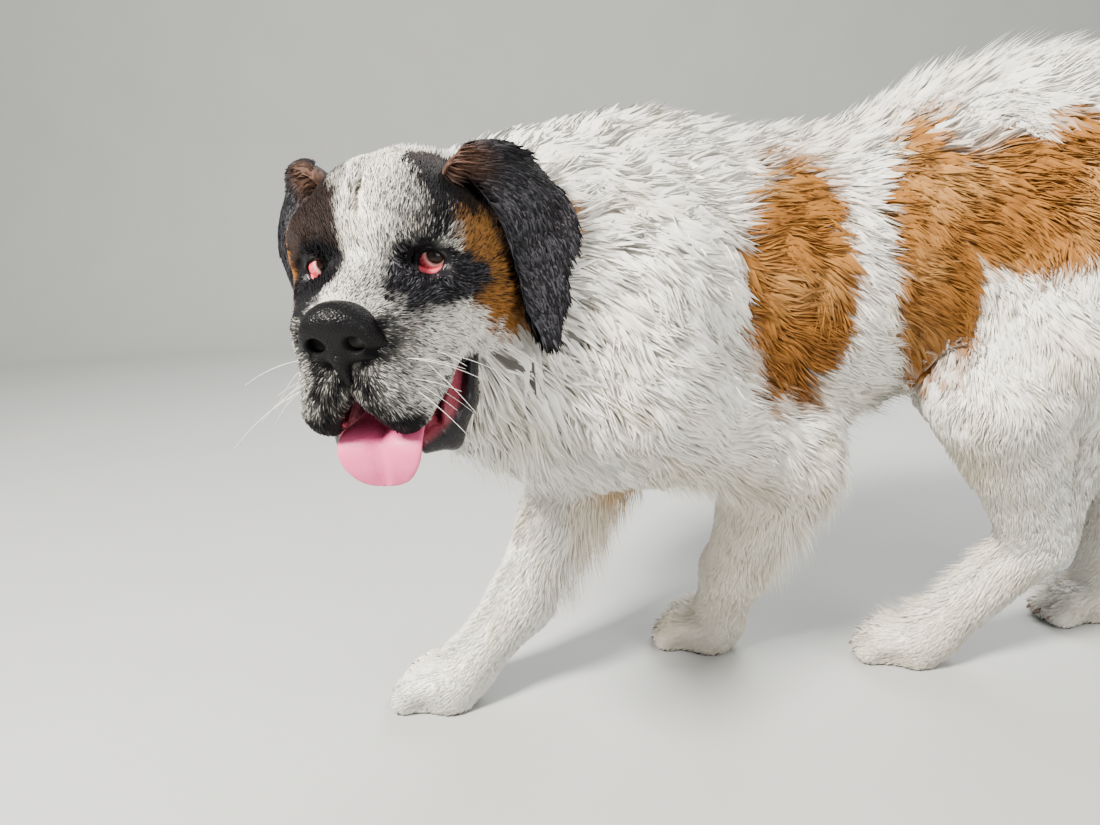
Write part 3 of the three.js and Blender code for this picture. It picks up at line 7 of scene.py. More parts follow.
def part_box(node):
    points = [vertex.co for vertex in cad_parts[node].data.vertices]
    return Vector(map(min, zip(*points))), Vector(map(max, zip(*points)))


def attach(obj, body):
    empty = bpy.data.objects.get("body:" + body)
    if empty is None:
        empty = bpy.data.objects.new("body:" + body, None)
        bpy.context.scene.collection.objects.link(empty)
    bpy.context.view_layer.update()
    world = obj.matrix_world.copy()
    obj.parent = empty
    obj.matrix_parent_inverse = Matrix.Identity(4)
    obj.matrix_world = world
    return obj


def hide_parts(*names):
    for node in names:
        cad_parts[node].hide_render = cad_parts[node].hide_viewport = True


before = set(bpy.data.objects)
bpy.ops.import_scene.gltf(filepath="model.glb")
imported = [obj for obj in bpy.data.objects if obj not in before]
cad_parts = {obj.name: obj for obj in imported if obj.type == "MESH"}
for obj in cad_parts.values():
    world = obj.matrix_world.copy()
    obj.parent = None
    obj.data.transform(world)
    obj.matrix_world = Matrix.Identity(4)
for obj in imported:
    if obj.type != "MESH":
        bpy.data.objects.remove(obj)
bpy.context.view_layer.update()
print("frame loaded")

# The dog is worked out in millimetres in its own frame: it faces -Y, its left side is +X.
# Flesh is a field, the distance to the skin, made of rounded masses that melt together.
# The coat's depth is a second field, and every tuft is rooted on the skin and lies along the coat.

dog = {
    "headPlace": (344, -547, 627),
    "headYaw": 79,
    "headPitch": 4,
    "headRoll": 1.5,
    "eyePlace": (-2, 52, 0),
    "nosePlace": (101, 0, -41),
    "noseHalfWidth": 33,
    "jawHinge": (-56, 0, -52),
    "jawDrop": 28,
    "faceCoat": 4,
    "napeCoat": 18,
    "seed": 7,
}


# A place or a way as an array
def vec(*values):
    return np.array(values, float)


# Each way brought to a length of one
def unit(v):
    v = np.asarray(v, float)
    return v / (np.linalg.norm(v, axis=-1, keepdims=True) + 1e-12)


# Two distances as one body, with a fillet of the given reach where they meet
def meld(a, b, reach):
    h = np.maximum(reach - np.abs(a - b), 0) / reach
    return np.minimum(a, b) - h * h * reach / 4


# The first body with the second one cut out of it
def hollow(a, b, reach):
    return -meld(-a, b, reach)


# Distance to a round bar from a to b whose radius runs from ra to rb. Flat is a way and how many times
# thinner the bar is along it.
def bar(p, a, b, ra, rb, flat=None):
    a, b = np.asarray(a, float), np.asarray(b, float)
    run = b - a
    t = np.clip((p - a) @ run / (run @ run), 0, 1)
    off = p - a - t[:, None] * run
    if flat:
        way = np.asarray(flat[0], float)
        off = off + (off @ way)[:, None] * way * (flat[1] - 1)
    return np.sqrt(np.einsum("ij,ij->i", off, off)) - ra - (rb - ra) * t


# Distance to an ellipsoid: k0 (k0 - 1) / k1, where k0 is the length of p over the radii and k1 is that of p
# over their squares
def egg(p, centre, radii):
    q = (p - np.asarray(centre, float)) / np.asarray(radii, float)
    k0 = np.sqrt(np.einsum("ij,ij->i", q, q))
    w = q / np.asarray(radii, float)
    return k0 * (k0 - 1) / (np.sqrt(np.einsum("ij,ij->i", w, w)) + 1e-9)


# Distance to a box with rounded edges
def block(p, centre, half, rounding):
    q = np.abs(p - np.asarray(centre, float)) - np.asarray(half, float) + rounding
    outside = np.sqrt((np.maximum(q, 0) ** 2).sum(1))
    return outside + np.minimum(q.max(1), 0) - rounding


# A mass is written as its kind, place and sizes, with its fillet last
def massAt(p, kind, *sizes):
    return {"egg": egg, "block": block, "bar": bar}[kind](p, *sizes[:-1]), sizes[-1]


# A body with the masses melted onto it in turn
def melded(d, p, masses):
    for mass in masses:
        d = meld(d, *massAt(p, *mass))
    return d


# A body with the masses cut out of it in turn
def hollowed(d, p, masses):
    for mass in masses:
        d = hollow(d, *massAt(p, *mass))
    return d


# Soft noise, mostly from -1 to 1: a sum of sines along random directions, its waves about size long
def wave(p, size, seed, count=7):
    draw = np.random.default_rng(seed)
    ways = unit(draw.normal(size=(count, 3))) / size * draw.uniform(0.7, 1.6, (count, 1)) * 2 * np.pi
    phases = draw.uniform(0, 2 * np.pi, count)
    return np.sin(p @ ways.T + phases).sum(1) / np.sqrt(count) / 1.2


# From 0 at low to 1 at high
def ramp(v, low, high):
    return np.clip((v - low) / (high - low), 0, 1)


# Trunk: centre line in plan, heights of back and belly, half width, coat above, beside and below
trunk = {
    "stations": (
        (142, -412, 640, 392, 88, 34, 38, 40),
        (104, -362, 712, 352, 128, 34, 34, 34),
        (46, -280, 738, 340, 152, 32, 28, 26),
        (10, -150, 722, 354, 163, 30, 24, 24),
        (-2, -20, 722, 384, 158, 30, 22, 26),
        (8, 100, 764, 428, 138, 40, 22, 26),
        (22, 210, 786, 470, 130, 36, 22, 24),
        (28, 310, 772, 520, 118, 34, 24, 24),
        (30, 380, 734, 570, 88, 34, 36, 36),
    ),
    "ends": (70, 62),
    "steps": 4,
}


# Rows of a table joined by a smooth curve through them all
def smoothRows(rows, steps):
    rows = np.asarray(rows, float)
    at = np.arange((len(rows) - 1) * steps + 1) / steps
    i = np.minimum(at.astype(int), len(rows) - 2)
    t = (at - i)[:, None]
    v = [rows[np.clip(i + k, 0, len(rows) - 1)] for k in (-1, 0, 1, 2)]
    m1, m2 = (v[2] - v[0]) / 2, (v[3] - v[1]) / 2
    return ((2 * t**3 - 3 * t**2 + 1) * v[1] + (t**3 - 2 * t**2 + t) * m1
            + (-2 * t**3 + 3 * t**2) * v[2] + (t**3 - t**2) * m2)


trunkLine = smoothRows(trunk["stations"], trunk["steps"])


# In plan, the stretch of the centre line nearest to each point, the share along it, held to its ends and
# not, and the way from there to the point
def nearestStation(p):
    a, b = trunkLine[:-1, :2], trunkLine[1:, :2]
    run = b - a
    raw = (((p[:, None, :2] - a) * run).sum(2)) / (run**2).sum(1)
    t = np.clip(raw, 0, 1)
    off = p[:, None, :2] - a - t[..., None] * run
    i = (off**2).sum(2).argmin(1)
    n = np.arange(len(p))
    return i, t[n, i], raw[n, i], off[n, i]


# The trunk's skin is an upright ellipse about the station beside the point, closed at both ends
def trunkAt(p):
    i, t, raw, off = nearestStation(p)
    here = trunkLine[i] + (trunkLine[i + 1] - trunkLine[i]) * t[:, None]
    aft = unit(trunkLine[i + 1, :2] - trunkLine[i, :2])
    isPast = ((i == 0) & (raw < 0)) | ((i == len(trunkLine) - 2) & (raw > 1))
    past = np.where(isPast, (off * aft).sum(1), 0)
    side = off[:, 1] * aft[:, 0] - off[:, 0] * aft[:, 1]
    top, bottom = here[:, 2], here[:, 3]
    radii = np.stack([here[:, 4], np.where(past < 0, *trunk["ends"]), (top - bottom) / 2], 1)
    flesh = egg(np.stack([side, past, p[:, 2] - (top + bottom) / 2], 1), (0, 0, 0), radii)
    level = np.clip((p[:, 2] - bottom) / (top - bottom) * 2 - 1, -1, 1)
    end = np.where(level > 0, here[:, 5], here[:, 7])
    beside = np.clip(np.hypot(off[:, 0], off[:, 1]) / here[:, 4], 0, 1)
    aft3 = np.column_stack([aft, np.zeros(len(p))])
    lie = aft3 - vec(0, 0, 1) * (0.12 + 0.7 * beside**2)[:, None]
    return flesh, here[:, 6] + (end - here[:, 6]) * level**2, lie


# Bars of flesh: ends, radii, depth of coat at both ends, fillet, and the way the hair lies, along the bar
# where none is given
neckBars = [
    ((36, -300, 622), (118, -412, 624), 96, 92, 30, 30, 70, (-0.5, 0.6, -0.5)),
    ((118, -412, 624), (212, -508, 622), 92, 76, 30, 20, 60, (-0.6, 0.6, -0.5)),
    ((120, -370, 500), (190, -462, 520), 112, 74, 40, 42, 80, (-0.3, 0.35, -0.9)),
    ((190, -462, 520), (262, -512, 560), 74, 54, 40, 22, 50, (-0.45, 0.3, -0.8)),
]

foreLimbs = {
    "left": dict(shoulder=(162, -292, 560), point=(188, -318, 462), elbow=(118, -112, 352),
                 wrist=(16, -154, 142), knuckle=(-24, -168, 48), foot=(-36, -188, 0), toe=(-70, -238, 0)),
    "right": dict(shoulder=(-64, -404, 560), point=(-4, -436, 470), elbow=(6, -352, 334),
                  wrist=(56, -456, 140), knuckle=(72, -536, 54), foot=(76, -570, 0), toe=(52, -626, 0)),
}
hindLimbs = {
    "left": dict(hip=(112, 296, 600), haunch=(92, 372, 610), stifle=(126, 144, 408), hock=(76, 240, 190),
                 heel=(74, 266, 206), knuckle=(48, 120, 50), foot=(38, 92, 0), toe=(2, 40, 0)),
    "right": dict(hip=(-52, 306, 600), haunch=(-30, 380, 606), stifle=(-74, 214, 382), hock=(-48, 448, 236),
                  heel=(-46, 476, 246), knuckle=(-52, 424, 50), foot=(-52, 404, 0), toe=(-58, 340, 0)),
}
for limbs in (foreLimbs, hindLimbs):
    for limb in limbs.values():
        for key in limb:
            limb[key] = vec(*limb[key])


# A foreleg: shoulder, upper arm, forearm in two stretches, and pastern
def foreBars(limb):
    shank = limb["elbow"] * 0.55 + limb["wrist"] * 0.45
    return [
        (limb["shoulder"], limb["point"], 62, 62, 26, 30, 70, (0, 0.6, -1)),
        (limb["point"], limb["elbow"], 62, 48, 26, 20, 60, None),
        (limb["elbow"], shank, 48, 41, 20, 12, 40, None),
        (shank, limb["wrist"], 40, 37, 12, 8, 20, None),
        (limb["wrist"], limb["knuckle"], 36, 33, 8, 6, 20, None),
    ]


# A hind leg: the thigh in front, the ham behind it down to the heel's tendon, and the pastern
def hindBars(limb):
    calf = limb["stifle"] * 0.65 + limb["hock"] * 0.35
    calfBack = (limb["haunch"] + limb["hip"]) / 2 * 0.45 + limb["hock"] * 0.55
    ham = limb["hip"] * 0.4 + limb["stifle"] * 0.6
    hamLie = (0, 0.4, -1)
    return [
        (limb["hip"], ham, 96, 76, 22, 20, 90, hamLie),
        (ham, limb["stifle"], 76, 58, 20, 18, 40, hamLie),
        (limb["haunch"], calfBack, 66, 44, 40, 30, 60, None),
        (limb["stifle"], calf, 58, 46, 18, 14, 40, None),
        (calf, limb["hock"], 46, 31, 14, 9, 26, None),
        (calfBack, limb["heel"], 34, 17, 20, 9, 26, None),
        (limb["heel"], limb["hock"], 17, 28, 9, 8, 16, None),
        (limb["hock"], limb["knuckle"], 33, 31, 9, 8, 18, None),
    ]


# A paw: four arched toes fanned about its middle, over a wide pad
paws = {
    "fore": {"length": 98, "spread": 20, "toeRadius": 18, "padRadius": 36, "height": 42},
    "hind": {"length": 98, "spread": 18, "toeRadius": 17, "padRadius": 33, "height": 40},
}


# The way a paw points, and the root, bend and tip of each toe, the outer ones shorter
def pawToes(limb, sizes):
    ahead = unit(limb["toe"] - limb["foot"])
    left = np.cross((0, 0, 1), ahead)
    toes = []
    for rank in (-1.5, -0.5, 0.5, 1.5):
        reach = sizes["length"] * (0.46 if abs(rank) > 1 else 0.56)
        aside = rank * sizes["spread"]
        spots = ((0, aside * 0.75, sizes["height"]), (reach * 0.55, aside, sizes["height"] - 4),
                 (reach, aside * 1.12, sizes["toeRadius"] - 3))
        toes.append([limb["foot"] + ahead * x + left * y + vec(0, 0, z) for x, y, z in spots])
    return ahead, toes


# The pad from the knuckle to the heel, and a sole, an arch and an end for each toe
def pawBars(limb, sizes):
    ahead, toes = pawToes(limb, sizes)
    heel = limb["foot"] - ahead * 10 + vec(0, 0, sizes["padRadius"] * 0.7)
    bars = [(limb["knuckle"], heel, 33, sizes["padRadius"], 6, 5, 20, None)]
    for root, bend, tip in toes:
        sole = (heel + root) / 2 * (1, 1, 0) + vec(0, 0, 15)
        bars.append((sole, tip * (1, 1, 0) + vec(0, 0, 13), 15, 13, 4, 3, 10, None))
        bars.append((root, bend, 20, sizes["toeRadius"], 6, 5, 12, None))
        bars.append((bend, tip, sizes["toeRadius"], sizes["toeRadius"] - 2, 5, 5, 5, None))
    return bars


# Grooves between the toes, over their arch and down their front
def pawGrooves(limb, sizes):
    ahead, toes = pawToes(limb, sizes)
    grooves = []
    for one, two in zip(toes, toes[1:]):
        back = (one[1] + two[1]) / 2 + vec(0, 0, 15)
        front = (one[2] + two[2]) / 2 + ahead * 12 + vec(0, 0, 8)
        grooves += [(back, front, 5.5, 5), (front, front * (1, 1, 0) + vec(0, 0, 2), 5.5, 5)]
    return grooves


# Tail: place, radius and depth of coat at each of its joints
tailRows = ((32, 408, 716, 40, 26), (36, 484, 664, 31, 34), (46, 548, 576, 27, 40), (58, 588, 468, 23, 42),
            (70, 612, 360, 18, 40), (80, 652, 292, 12, 26))
tailBars = [(a[:3], b[:3], a[3], b[3], a[4], b[4], 16 if n else 50, None)
            for n, (a, b) in enumerate(zip(tailRows, tailRows[1:]))]

bodyBars = list(neckBars)
bodyGrooves = []
for limb in foreLimbs.values():
    bodyBars += foreBars(limb)
for limb in hindLimbs.values():
    bodyBars += hindBars(limb)
for limbs, kind in ((foreLimbs, "fore"), (hindLimbs, "hind")):
    for limb in limbs.values():
        bodyBars += pawBars(limb, paws[kind])
        bodyGrooves += pawGrooves(limb, paws[kind])
bodyBars += tailBars


# Head frame: ahead, to its left and up from the point midway between the eyes
def headFrame():
    yaw, pitch, roll = (np.radians(dog[key]) for key in ("headYaw", "headPitch", "headRoll"))
    ahead = vec(np.sin(yaw) * np.cos(pitch), -np.cos(yaw) * np.cos(pitch), -np.sin(pitch))
    level = unit(np.cross((0, 0, 1), ahead))
    left = level * np.cos(roll) + np.cross(ahead, level) * np.sin(roll)
    return np.array([ahead, left, np.cross(ahead, left)])


headAxes = headFrame()
headPlace = vec(*dog["headPlace"])


# Into the head frame
def toHead(p):
    return (p - headPlace) @ headAxes.T


# Out of the head frame
def fromHead(q):
    return headPlace + np.asarray(q, float) @ headAxes


# The same place on the head's left side
def mirrored(q):
    return q * vec(1, 0, 1) + np.abs(q) * vec(0, 1, 0)


eyePlace = vec(*dog["eyePlace"])
nosePlace = vec(*dog["nosePlace"])
innerCorner = eyePlace + (10, -16, -7)
outerCorner = eyePlace + (3, 17, -3)
lids = {
    "upper": (innerCorner, eyePlace + (12.5, -6, 10), eyePlace + (10, 8, 9), outerCorner),
    "lower": (innerCorner, eyePlace + (12, -6, -16), eyePlace + (10, 8, -15), outerCorner),
    "radius": 3.6,
    "fillet": 4,
}
lidsMiddle = eyePlace + (10, 0, -3)
hood = {"line": (eyePlace + (12, -17, 12), eyePlace + (10, 4, 17), eyePlace + (1, 25, 5)), "radius": 4.5}


# Bars of one radius from point to point of a line
def barsAlong(line, radius, fillet):
    return [("bar", a, b, radius, radius, fillet) for a, b in zip(line, line[1:])]


# Skull, brow, cheeks, muzzle and hanging lips in the head frame, added to the braincase in turn
braincase = ((-64, 0, 10), (88, 82, 80))
headMasses = (
    ("egg", (-22, 0, 30), (50, 56, 50), 30),  # forehead
    ("egg", (-52, 56, -18), (62, 36, 52), 34),  # cheek
    ("egg", (-84, 58, -56), (50, 32, 44), 34),  # corner of the jaw
    ("bar", (-128, 0, 30), (-112, 0, 58), 34, 30, 40),  # nape
    ("egg", (-6, 54, -56), (46, 26, 32), 24),  # root of the lips
    ("block", (46, 0, -56), (54, 47, 38), 25, 30),  # muzzle
    ("bar", (6, 0, -16), (86, 0, -34), 27, 24, 20),  # bridge of the nose
    ("bar", (4, 44, -30), (52, 36, -50), 24, 22, 24),  # side of the muzzle
    ("bar", (10, 20, 28), (-10, 62, 26), 18, 17, 22),  # brow
    ("bar", (88, 24, -94), (71, 33, -112), 20, 20, 16),  # hanging lip, from its front
    ("bar", (71, 33, -112), (45, 45, -94), 20, 18, 14),
    ("bar", (45, 45, -94), (-24, 62, -54), 18, 17, 16),
)

# What is cut out of them
mouthPlace, mouthRadii = vec(22, 0, -132), vec(84, 34, 40)
headHollows = (
    ("bar", (112, 0, -104), (84, 0, -122), 5, 12, 8),  # split of the upper lip
    ("egg", mouthPlace, mouthRadii, 10),
    ("egg", eyePlace + (14, 1, -2), (20, 19, 14), 7),  # hollow of the eye
    ("bar", (26, 0, 46), (-10, 0, 84), 3, 3, 16),  # furrow of the forehead
    ("bar", (-10, 0, 84), (-60, 0, 93), 3, 3, 16),
    ("bar", (12, 30, 19), (0, 72, 15), 2.5, 2.5, 8),  # fold over the eye
    ("bar", (15, 30, -20), (2, 66, -30), 2, 2, 8),  # fold under the eye
    ("bar", (-16, 86, -14), (4, 80, -64), 3, 3, 12),  # fold down the cheek
    ("bar", (70, 44, -52), (34, 56, -84), 2.5, 2.5, 10),  # fold along the lip
)
lidMasses = (*barsAlong(lids["upper"], lids["radius"], lids["fillet"]),
             *barsAlong(lids["lower"], lids["radius"], lids["fillet"]),
             *barsAlong(hood["line"], hood["radius"], lids["fillet"]))


# Distance to the skin of the head: the masses melted together, the hollows cut, and then the lids put in
def headFlesh(q):
    m = mirrored(q)
    return melded(hollowed(melded(egg(m, *braincase), m, headMasses), m, headHollows), m, lidMasses)


# The coat of the face is short, barest beside the eyes and the nose, and deepens on the nape and the throat
def headCoat(q):
    nape = ramp(-q[:, 0], 100, 160)
    throat = ramp(-q[:, 2], 40, 100) * ramp(-q[:, 0], 50, 90)
    fromEye = np.linalg.norm(mirrored(q) - eyePlace, axis=1)
    fromNose = np.linalg.norm(q - nosePlace, axis=1)
    short = dog["faceCoat"] * np.maximum(np.minimum(ramp(fromEye, 16, 34), ramp(fromNose, 24, 48)), 0.1)
    return short + (dog["napeCoat"] - short) * np.maximum(nape, throat)


# How far away a bar, a groove and the head are felt, how fast a mass loses its say in the depth of the coat
# and in the way it lies, and the fillet between the neck and the head
felt = {"bar": 110, "groove": 90, "head": 300, "depth": 14, "lie": 22, "neckFillet": 24}
ballCentres = np.array([(np.asarray(b[0]) + np.asarray(b[1])) / 2 for b in bodyBars])
ballRadii = np.array([np.linalg.norm(np.subtract(b[0], b[1])) / 2 + max(b[2], b[3]) + felt["bar"]
                      for b in bodyBars])


# One at the mass and inside it, fading with the distance
def say(d, fade):
    return np.exp(-np.maximum(d, 0) / fade)


# Distance to the skin, depth of the coat and the way it lies: nearer masses count the more
def bodyAt(p, withLie=False):
    flesh, coat, way = trunkAt(p)
    weight = say(flesh, felt["depth"]) + 1e-12
    total = weight * coat
    lieSum = way * say(flesh, felt["lie"])[:, None] if withLie else None
    for middle, radius, (a, b, ra, rb, coatA, coatB, melt, lie) in zip(ballCentres, ballRadii, bodyBars):
        near = np.flatnonzero(((p - middle) ** 2).sum(1) < radius**2)
        if not len(near):
            continue
        d = bar(p[near], a, b, ra, rb)
        w = say(d, felt["depth"])
        total[near] += w * (coatA + coatB) / 2
        weight[near] += w
        flesh[near] = meld(flesh[near], d, melt)
        if withLie:
            way = unit(np.subtract(b, a) if lie is None else lie)
            lieSum[near] += way * say(d, felt["lie"])[:, None]
    for a, b, radius, reach in bodyGrooves:
        near = np.flatnonzero(((p - a) ** 2).sum(1) < felt["groove"] ** 2)
        if len(near):
            flesh[near] = hollow(flesh[near], bar(p[near], a, b, radius, radius), reach)
    return flesh, total / weight, lieSum


# Field of the whole animal at a share of the coat's depth: 0 is the skin and 1 the tips
def level(p, share=0.0):
    flesh, coat, _ = bodyAt(p)
    d = flesh - share * coat
    q = toHead(p)
    near = np.flatnonzero((q**2).sum(1) < felt["head"] ** 2)
    if len(near):
        shares = share[near] if np.ndim(share) else share
        d[near] = meld(d[near], headFlesh(q[near]) - shares * headCoat(q[near]), felt["neckFillet"])
    return d


# On the head the hair runs back, up over the brow and down over the cheeks and lips, and it parts about the
# nose leather and the eyes
def headLie(q):
    rise = 0.9 * ramp(q[:, 2], -25, 15)
    droop = 0.9 * ramp(-q[:, 2], 20, 90) * ramp(np.abs(q[:, 1]), 15, 60)
    way = unit(np.column_stack([-np.ones(len(q)), np.zeros(len(q)), rise - droop]))
    off = q - nosePlace
    about = 1 - ramp(np.linalg.norm(off, axis=1), 30, 85)[:, None]
    way = way * (1 - about) + unit(off) * about
    off = mirrored(q) - lidsMiddle
    about = say(np.linalg.norm(off, axis=1) - 22, 11)[:, None] * 0.95
    off[:, 1] *= np.sign(q[:, 1])
    return unit(way * (1 - about) + unit(off) * about)


# Depth of the coat and the way it lies, the head's own where the head is the nearer
def coatAndLie(p):
    flesh, coat, lie = bodyAt(p, withLie=True)
    q = toHead(p)
    near = np.flatnonzero((q**2).sum(1) < felt["head"] ** 2)
    skull = headFlesh(q[near])
    isHead = skull < flesh[near]
    coat[near[isHead]] = headCoat(q[near[isHead]])
    lie[near] += headLie(q[near]) @ headAxes * (2 * say(skull, felt["lie"]))[:, None]
    return coat, unit(lie)


# The field at each point and its change along each axis
def slope(field, p, step=0.5):
    here = field(p)
    g = np.stack([(field(p + vec(*row) * step) - here) / step for row in np.eye(3)], 1)
    return here, g


# Points moved onto the surface by steps down the slope, no farther than the limit in all
def settle(field, p, limit, turns=2):
    start = p.copy()
    for _ in range(turns):
        here, g = slope(field, p)
        p = p - g * (here / np.maximum((g**2).sum(1), 0.05))[:, None]
    moved = p - start
    far = np.linalg.norm(moved, axis=1, keepdims=True)
    return start + moved * np.minimum(1, limit / (far + 1e-9))


# Grid lines in stretches: start, pitch, end, pitch, end ...
def ruled(start, *stops):
    line = [start]
    for pitch, end in zip(stops[::2], stops[1::2]):
        line += list(np.linspace(line[-1], end, max(1, round((end - line[-1]) / pitch)) + 1)[1:])
    return np.array(line, float)


# The field on a grid. Where every fourth line shows that the surface is far, the rest is filled in.
def sampled(field, lines, stride=4):
    ids = [np.unique(np.append(np.arange(0, len(line), stride), len(line) - 1)) for line in lines]
    spots = np.stack(np.meshgrid(*[line[i] for line, i in zip(lines, ids)], indexing="ij"), -1)
    rough = field(spots.reshape(-1, 3)).reshape(spots.shape[:3])
    gaps = [np.diff(line[i]) for line, i in zip(lines, ids)]
    reach = np.sqrt(gaps[0][:, None, None] ** 2 + gaps[1][:, None] ** 2 + gaps[2] ** 2)
    n = [len(i) - 1 for i in ids]
    least = np.full(n, np.inf)
    for x in (0, 1):
        for y in (0, 1):
            for z in (0, 1):
                least = np.minimum(least, np.abs(rough[x:x + n[0], y:y + n[1], z:z + n[2]]))
    isNear = least < reach * 0.75
    lower = [np.clip(np.searchsorted(i, np.arange(len(line)), "right") - 1, 0, k - 1)
             for i, line, k in zip(ids, lines, n)]
    under = [np.clip(np.searchsorted(i, np.arange(len(line)), "left") - 1, 0, k - 1)
             for i, line, k in zip(ids, lines, n)]
    wanted = isNear[np.ix_(*lower)] | isNear[np.ix_(*under)]
    values = rough[np.ix_(*lower)].copy()
    i, j, k = np.nonzero(wanted)
    values[i, j, k] = field(np.column_stack([lines[0][i], lines[1][j], lines[2][k]]))
    for axis in range(3):
        rim = [slice(None)] * 3
        for end in (0, -1):
            rim[axis] = end
            values[tuple(rim)] = np.maximum(values[tuple(rim)], 0.5)
    return values


# Surface of a field on a grid: one vertex in each cell that the surface crosses, at the mean of the
# crossings of the cell's edges, and one face about each grid edge that changes side
def netOf(field, lines):
    values = sampled(field, lines)
    inside = values < 0
    size = [s - 1 for s in values.shape]
    corners = [(c & 1, c >> 1 & 1, c >> 2 & 1) for c in range(8)]
    part = [inside[x:x + size[0], y:y + size[1], z:z + size[2]] for x, y, z in corners]
    isCut = np.logical_or.reduce(part) & ~np.logical_and.reduce(part)
    i, j, k = np.nonzero(isCut)
    v = np.stack([values[i + x, j + y, k + z] for x, y, z in corners], 1)
    sums = np.zeros((len(i), 3))
    hits = np.zeros(len(i))
    for a in range(8):
        for bit in (1, 2, 4):
            b = a | bit
            if b == a:
                continue
            cut = (v[:, a] < 0) != (v[:, b] < 0)
            t = np.where(cut, v[:, a] / np.where(cut, v[:, a] - v[:, b], 1), 0)
            for axis, cell in enumerate((i, j, k)):
                line = lines[axis]
                low = line[cell + corners[a][axis]]
                high = line[cell + corners[b][axis]]
                sums[:, axis] += np.where(cut, low + (high - low) * t, 0)
            hits += cut
    points = sums / hits[:, None]
    index = np.full(size, -1, np.int32)
    index[i, j, k] = np.arange(len(i))
    faces = []
    for axis in range(3):
        u, w = [(1, 2), (2, 0), (0, 1)][axis]
        ahead = [slice(0, s) for s in inside.shape]
        behind = [slice(0, s) for s in inside.shape]
        ahead[axis] = slice(1, None)
        behind[axis] = slice(0, -1)
        change = inside[tuple(behind)] != inside[tuple(ahead)]
        cells = np.array(np.nonzero(change)).T
        cells = cells[(cells[:, u] > 0) & (cells[:, w] > 0)]
        goesIn = ~inside[tuple(cells.T)]
        quad = []
        for du, dw in ((1, 1), (0, 1), (0, 0), (1, 0)):
            cell = cells.copy()
            cell[:, u] -= du
            cell[:, w] -= dw
            quad.append(index[tuple(cell.T)])
        quad = np.stack(quad, 1)
        quad[goesIn] = quad[goesIn][:, ::-1]
        faces.append(quad)
    pitch = min(np.diff(line).min() for line in lines)
    return settle(field, points, pitch * 0.6), np.concatenate(faces)


# The frame's left eye says where the frame's origin lies
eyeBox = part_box("eye_left")
shift = (np.array(eyeBox[0]) + np.array(eyeBox[1])) / 2 * 1000 - fromHead(eyePlace)
print("frame shift", shift.round(2))


# Millimetres in the dog's frame as metres in the CAD's
def toRow(p):
    return (p + shift) / 1000


# A mesh object from points in millimetres and faces as one array of quads or triangles. The extras are its
# attributes by name, a value or a vector at each point.
def piece(name, points, faces, material, replaces=(), colours=None, extras=None, normals=None):
    mesh = bpy.data.meshes.new(name)
    corners = faces.shape[1]
    mesh.vertices.add(len(points))
    mesh.vertices.foreach_set("co", toRow(points).astype(np.float32).ravel())
    mesh.loops.add(faces.size)
    mesh.loops.foreach_set("vertex_index", faces.astype(np.int32).ravel())
    mesh.polygons.add(len(faces))
    mesh.polygons.foreach_set("loop_start", np.arange(0, faces.size, corners, dtype=np.int32))
    mesh.polygons.foreach_set("use_smooth", np.full(len(faces), True))
    mesh.update(calc_edges=True)
    if normals is not None:
        mesh.normals_split_custom_set_from_vertices(normals.tolist())
    if colours is not None:
        opaque = np.column_stack([colours, np.ones(len(colours))]).astype(np.float32)
        painted = mesh.color_attributes.new("coatColour", "FLOAT_COLOR", "POINT")
        painted.data.foreach_set("color", opaque.ravel())
    for key, values in (extras or {}).items():
        kind, member = ("FLOAT", "value") if np.ndim(values) == 1 else ("FLOAT_VECTOR", "vector")
        mesh.attributes.new(key, kind, "POINT").data.foreach_set(member, values.astype(np.float32).ravel())
    mesh.materials.append(material)
    made = bpy.data.objects.new(name, mesh)
    bpy.context.scene.collection.objects.link(made)
    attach(made, "root")
    if replaces:
        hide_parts(*replaces)
    return made


# An output socket that takes arithmetic: each operator adds a Math node
class Tone:
    def __init__(self, finish, socket):
        self.finish = finish
        self.socket = socket

    def math(self, operation, a, b):
        return self.finish.node("ShaderNodeMath", {"operation": operation}, {0: a, 1: b})

    def __add__(self, other):
        return self.math("ADD", self, other)

    def __sub__(self, other):
        return self.math("SUBTRACT", self, other)

    def __mul__(self, other):
        return self.math("MULTIPLY", self, other)

    def __rsub__(self, other):
        return self.math("SUBTRACT", other, self)

    __radd__ = __add__
    __rmul__ = __mul__


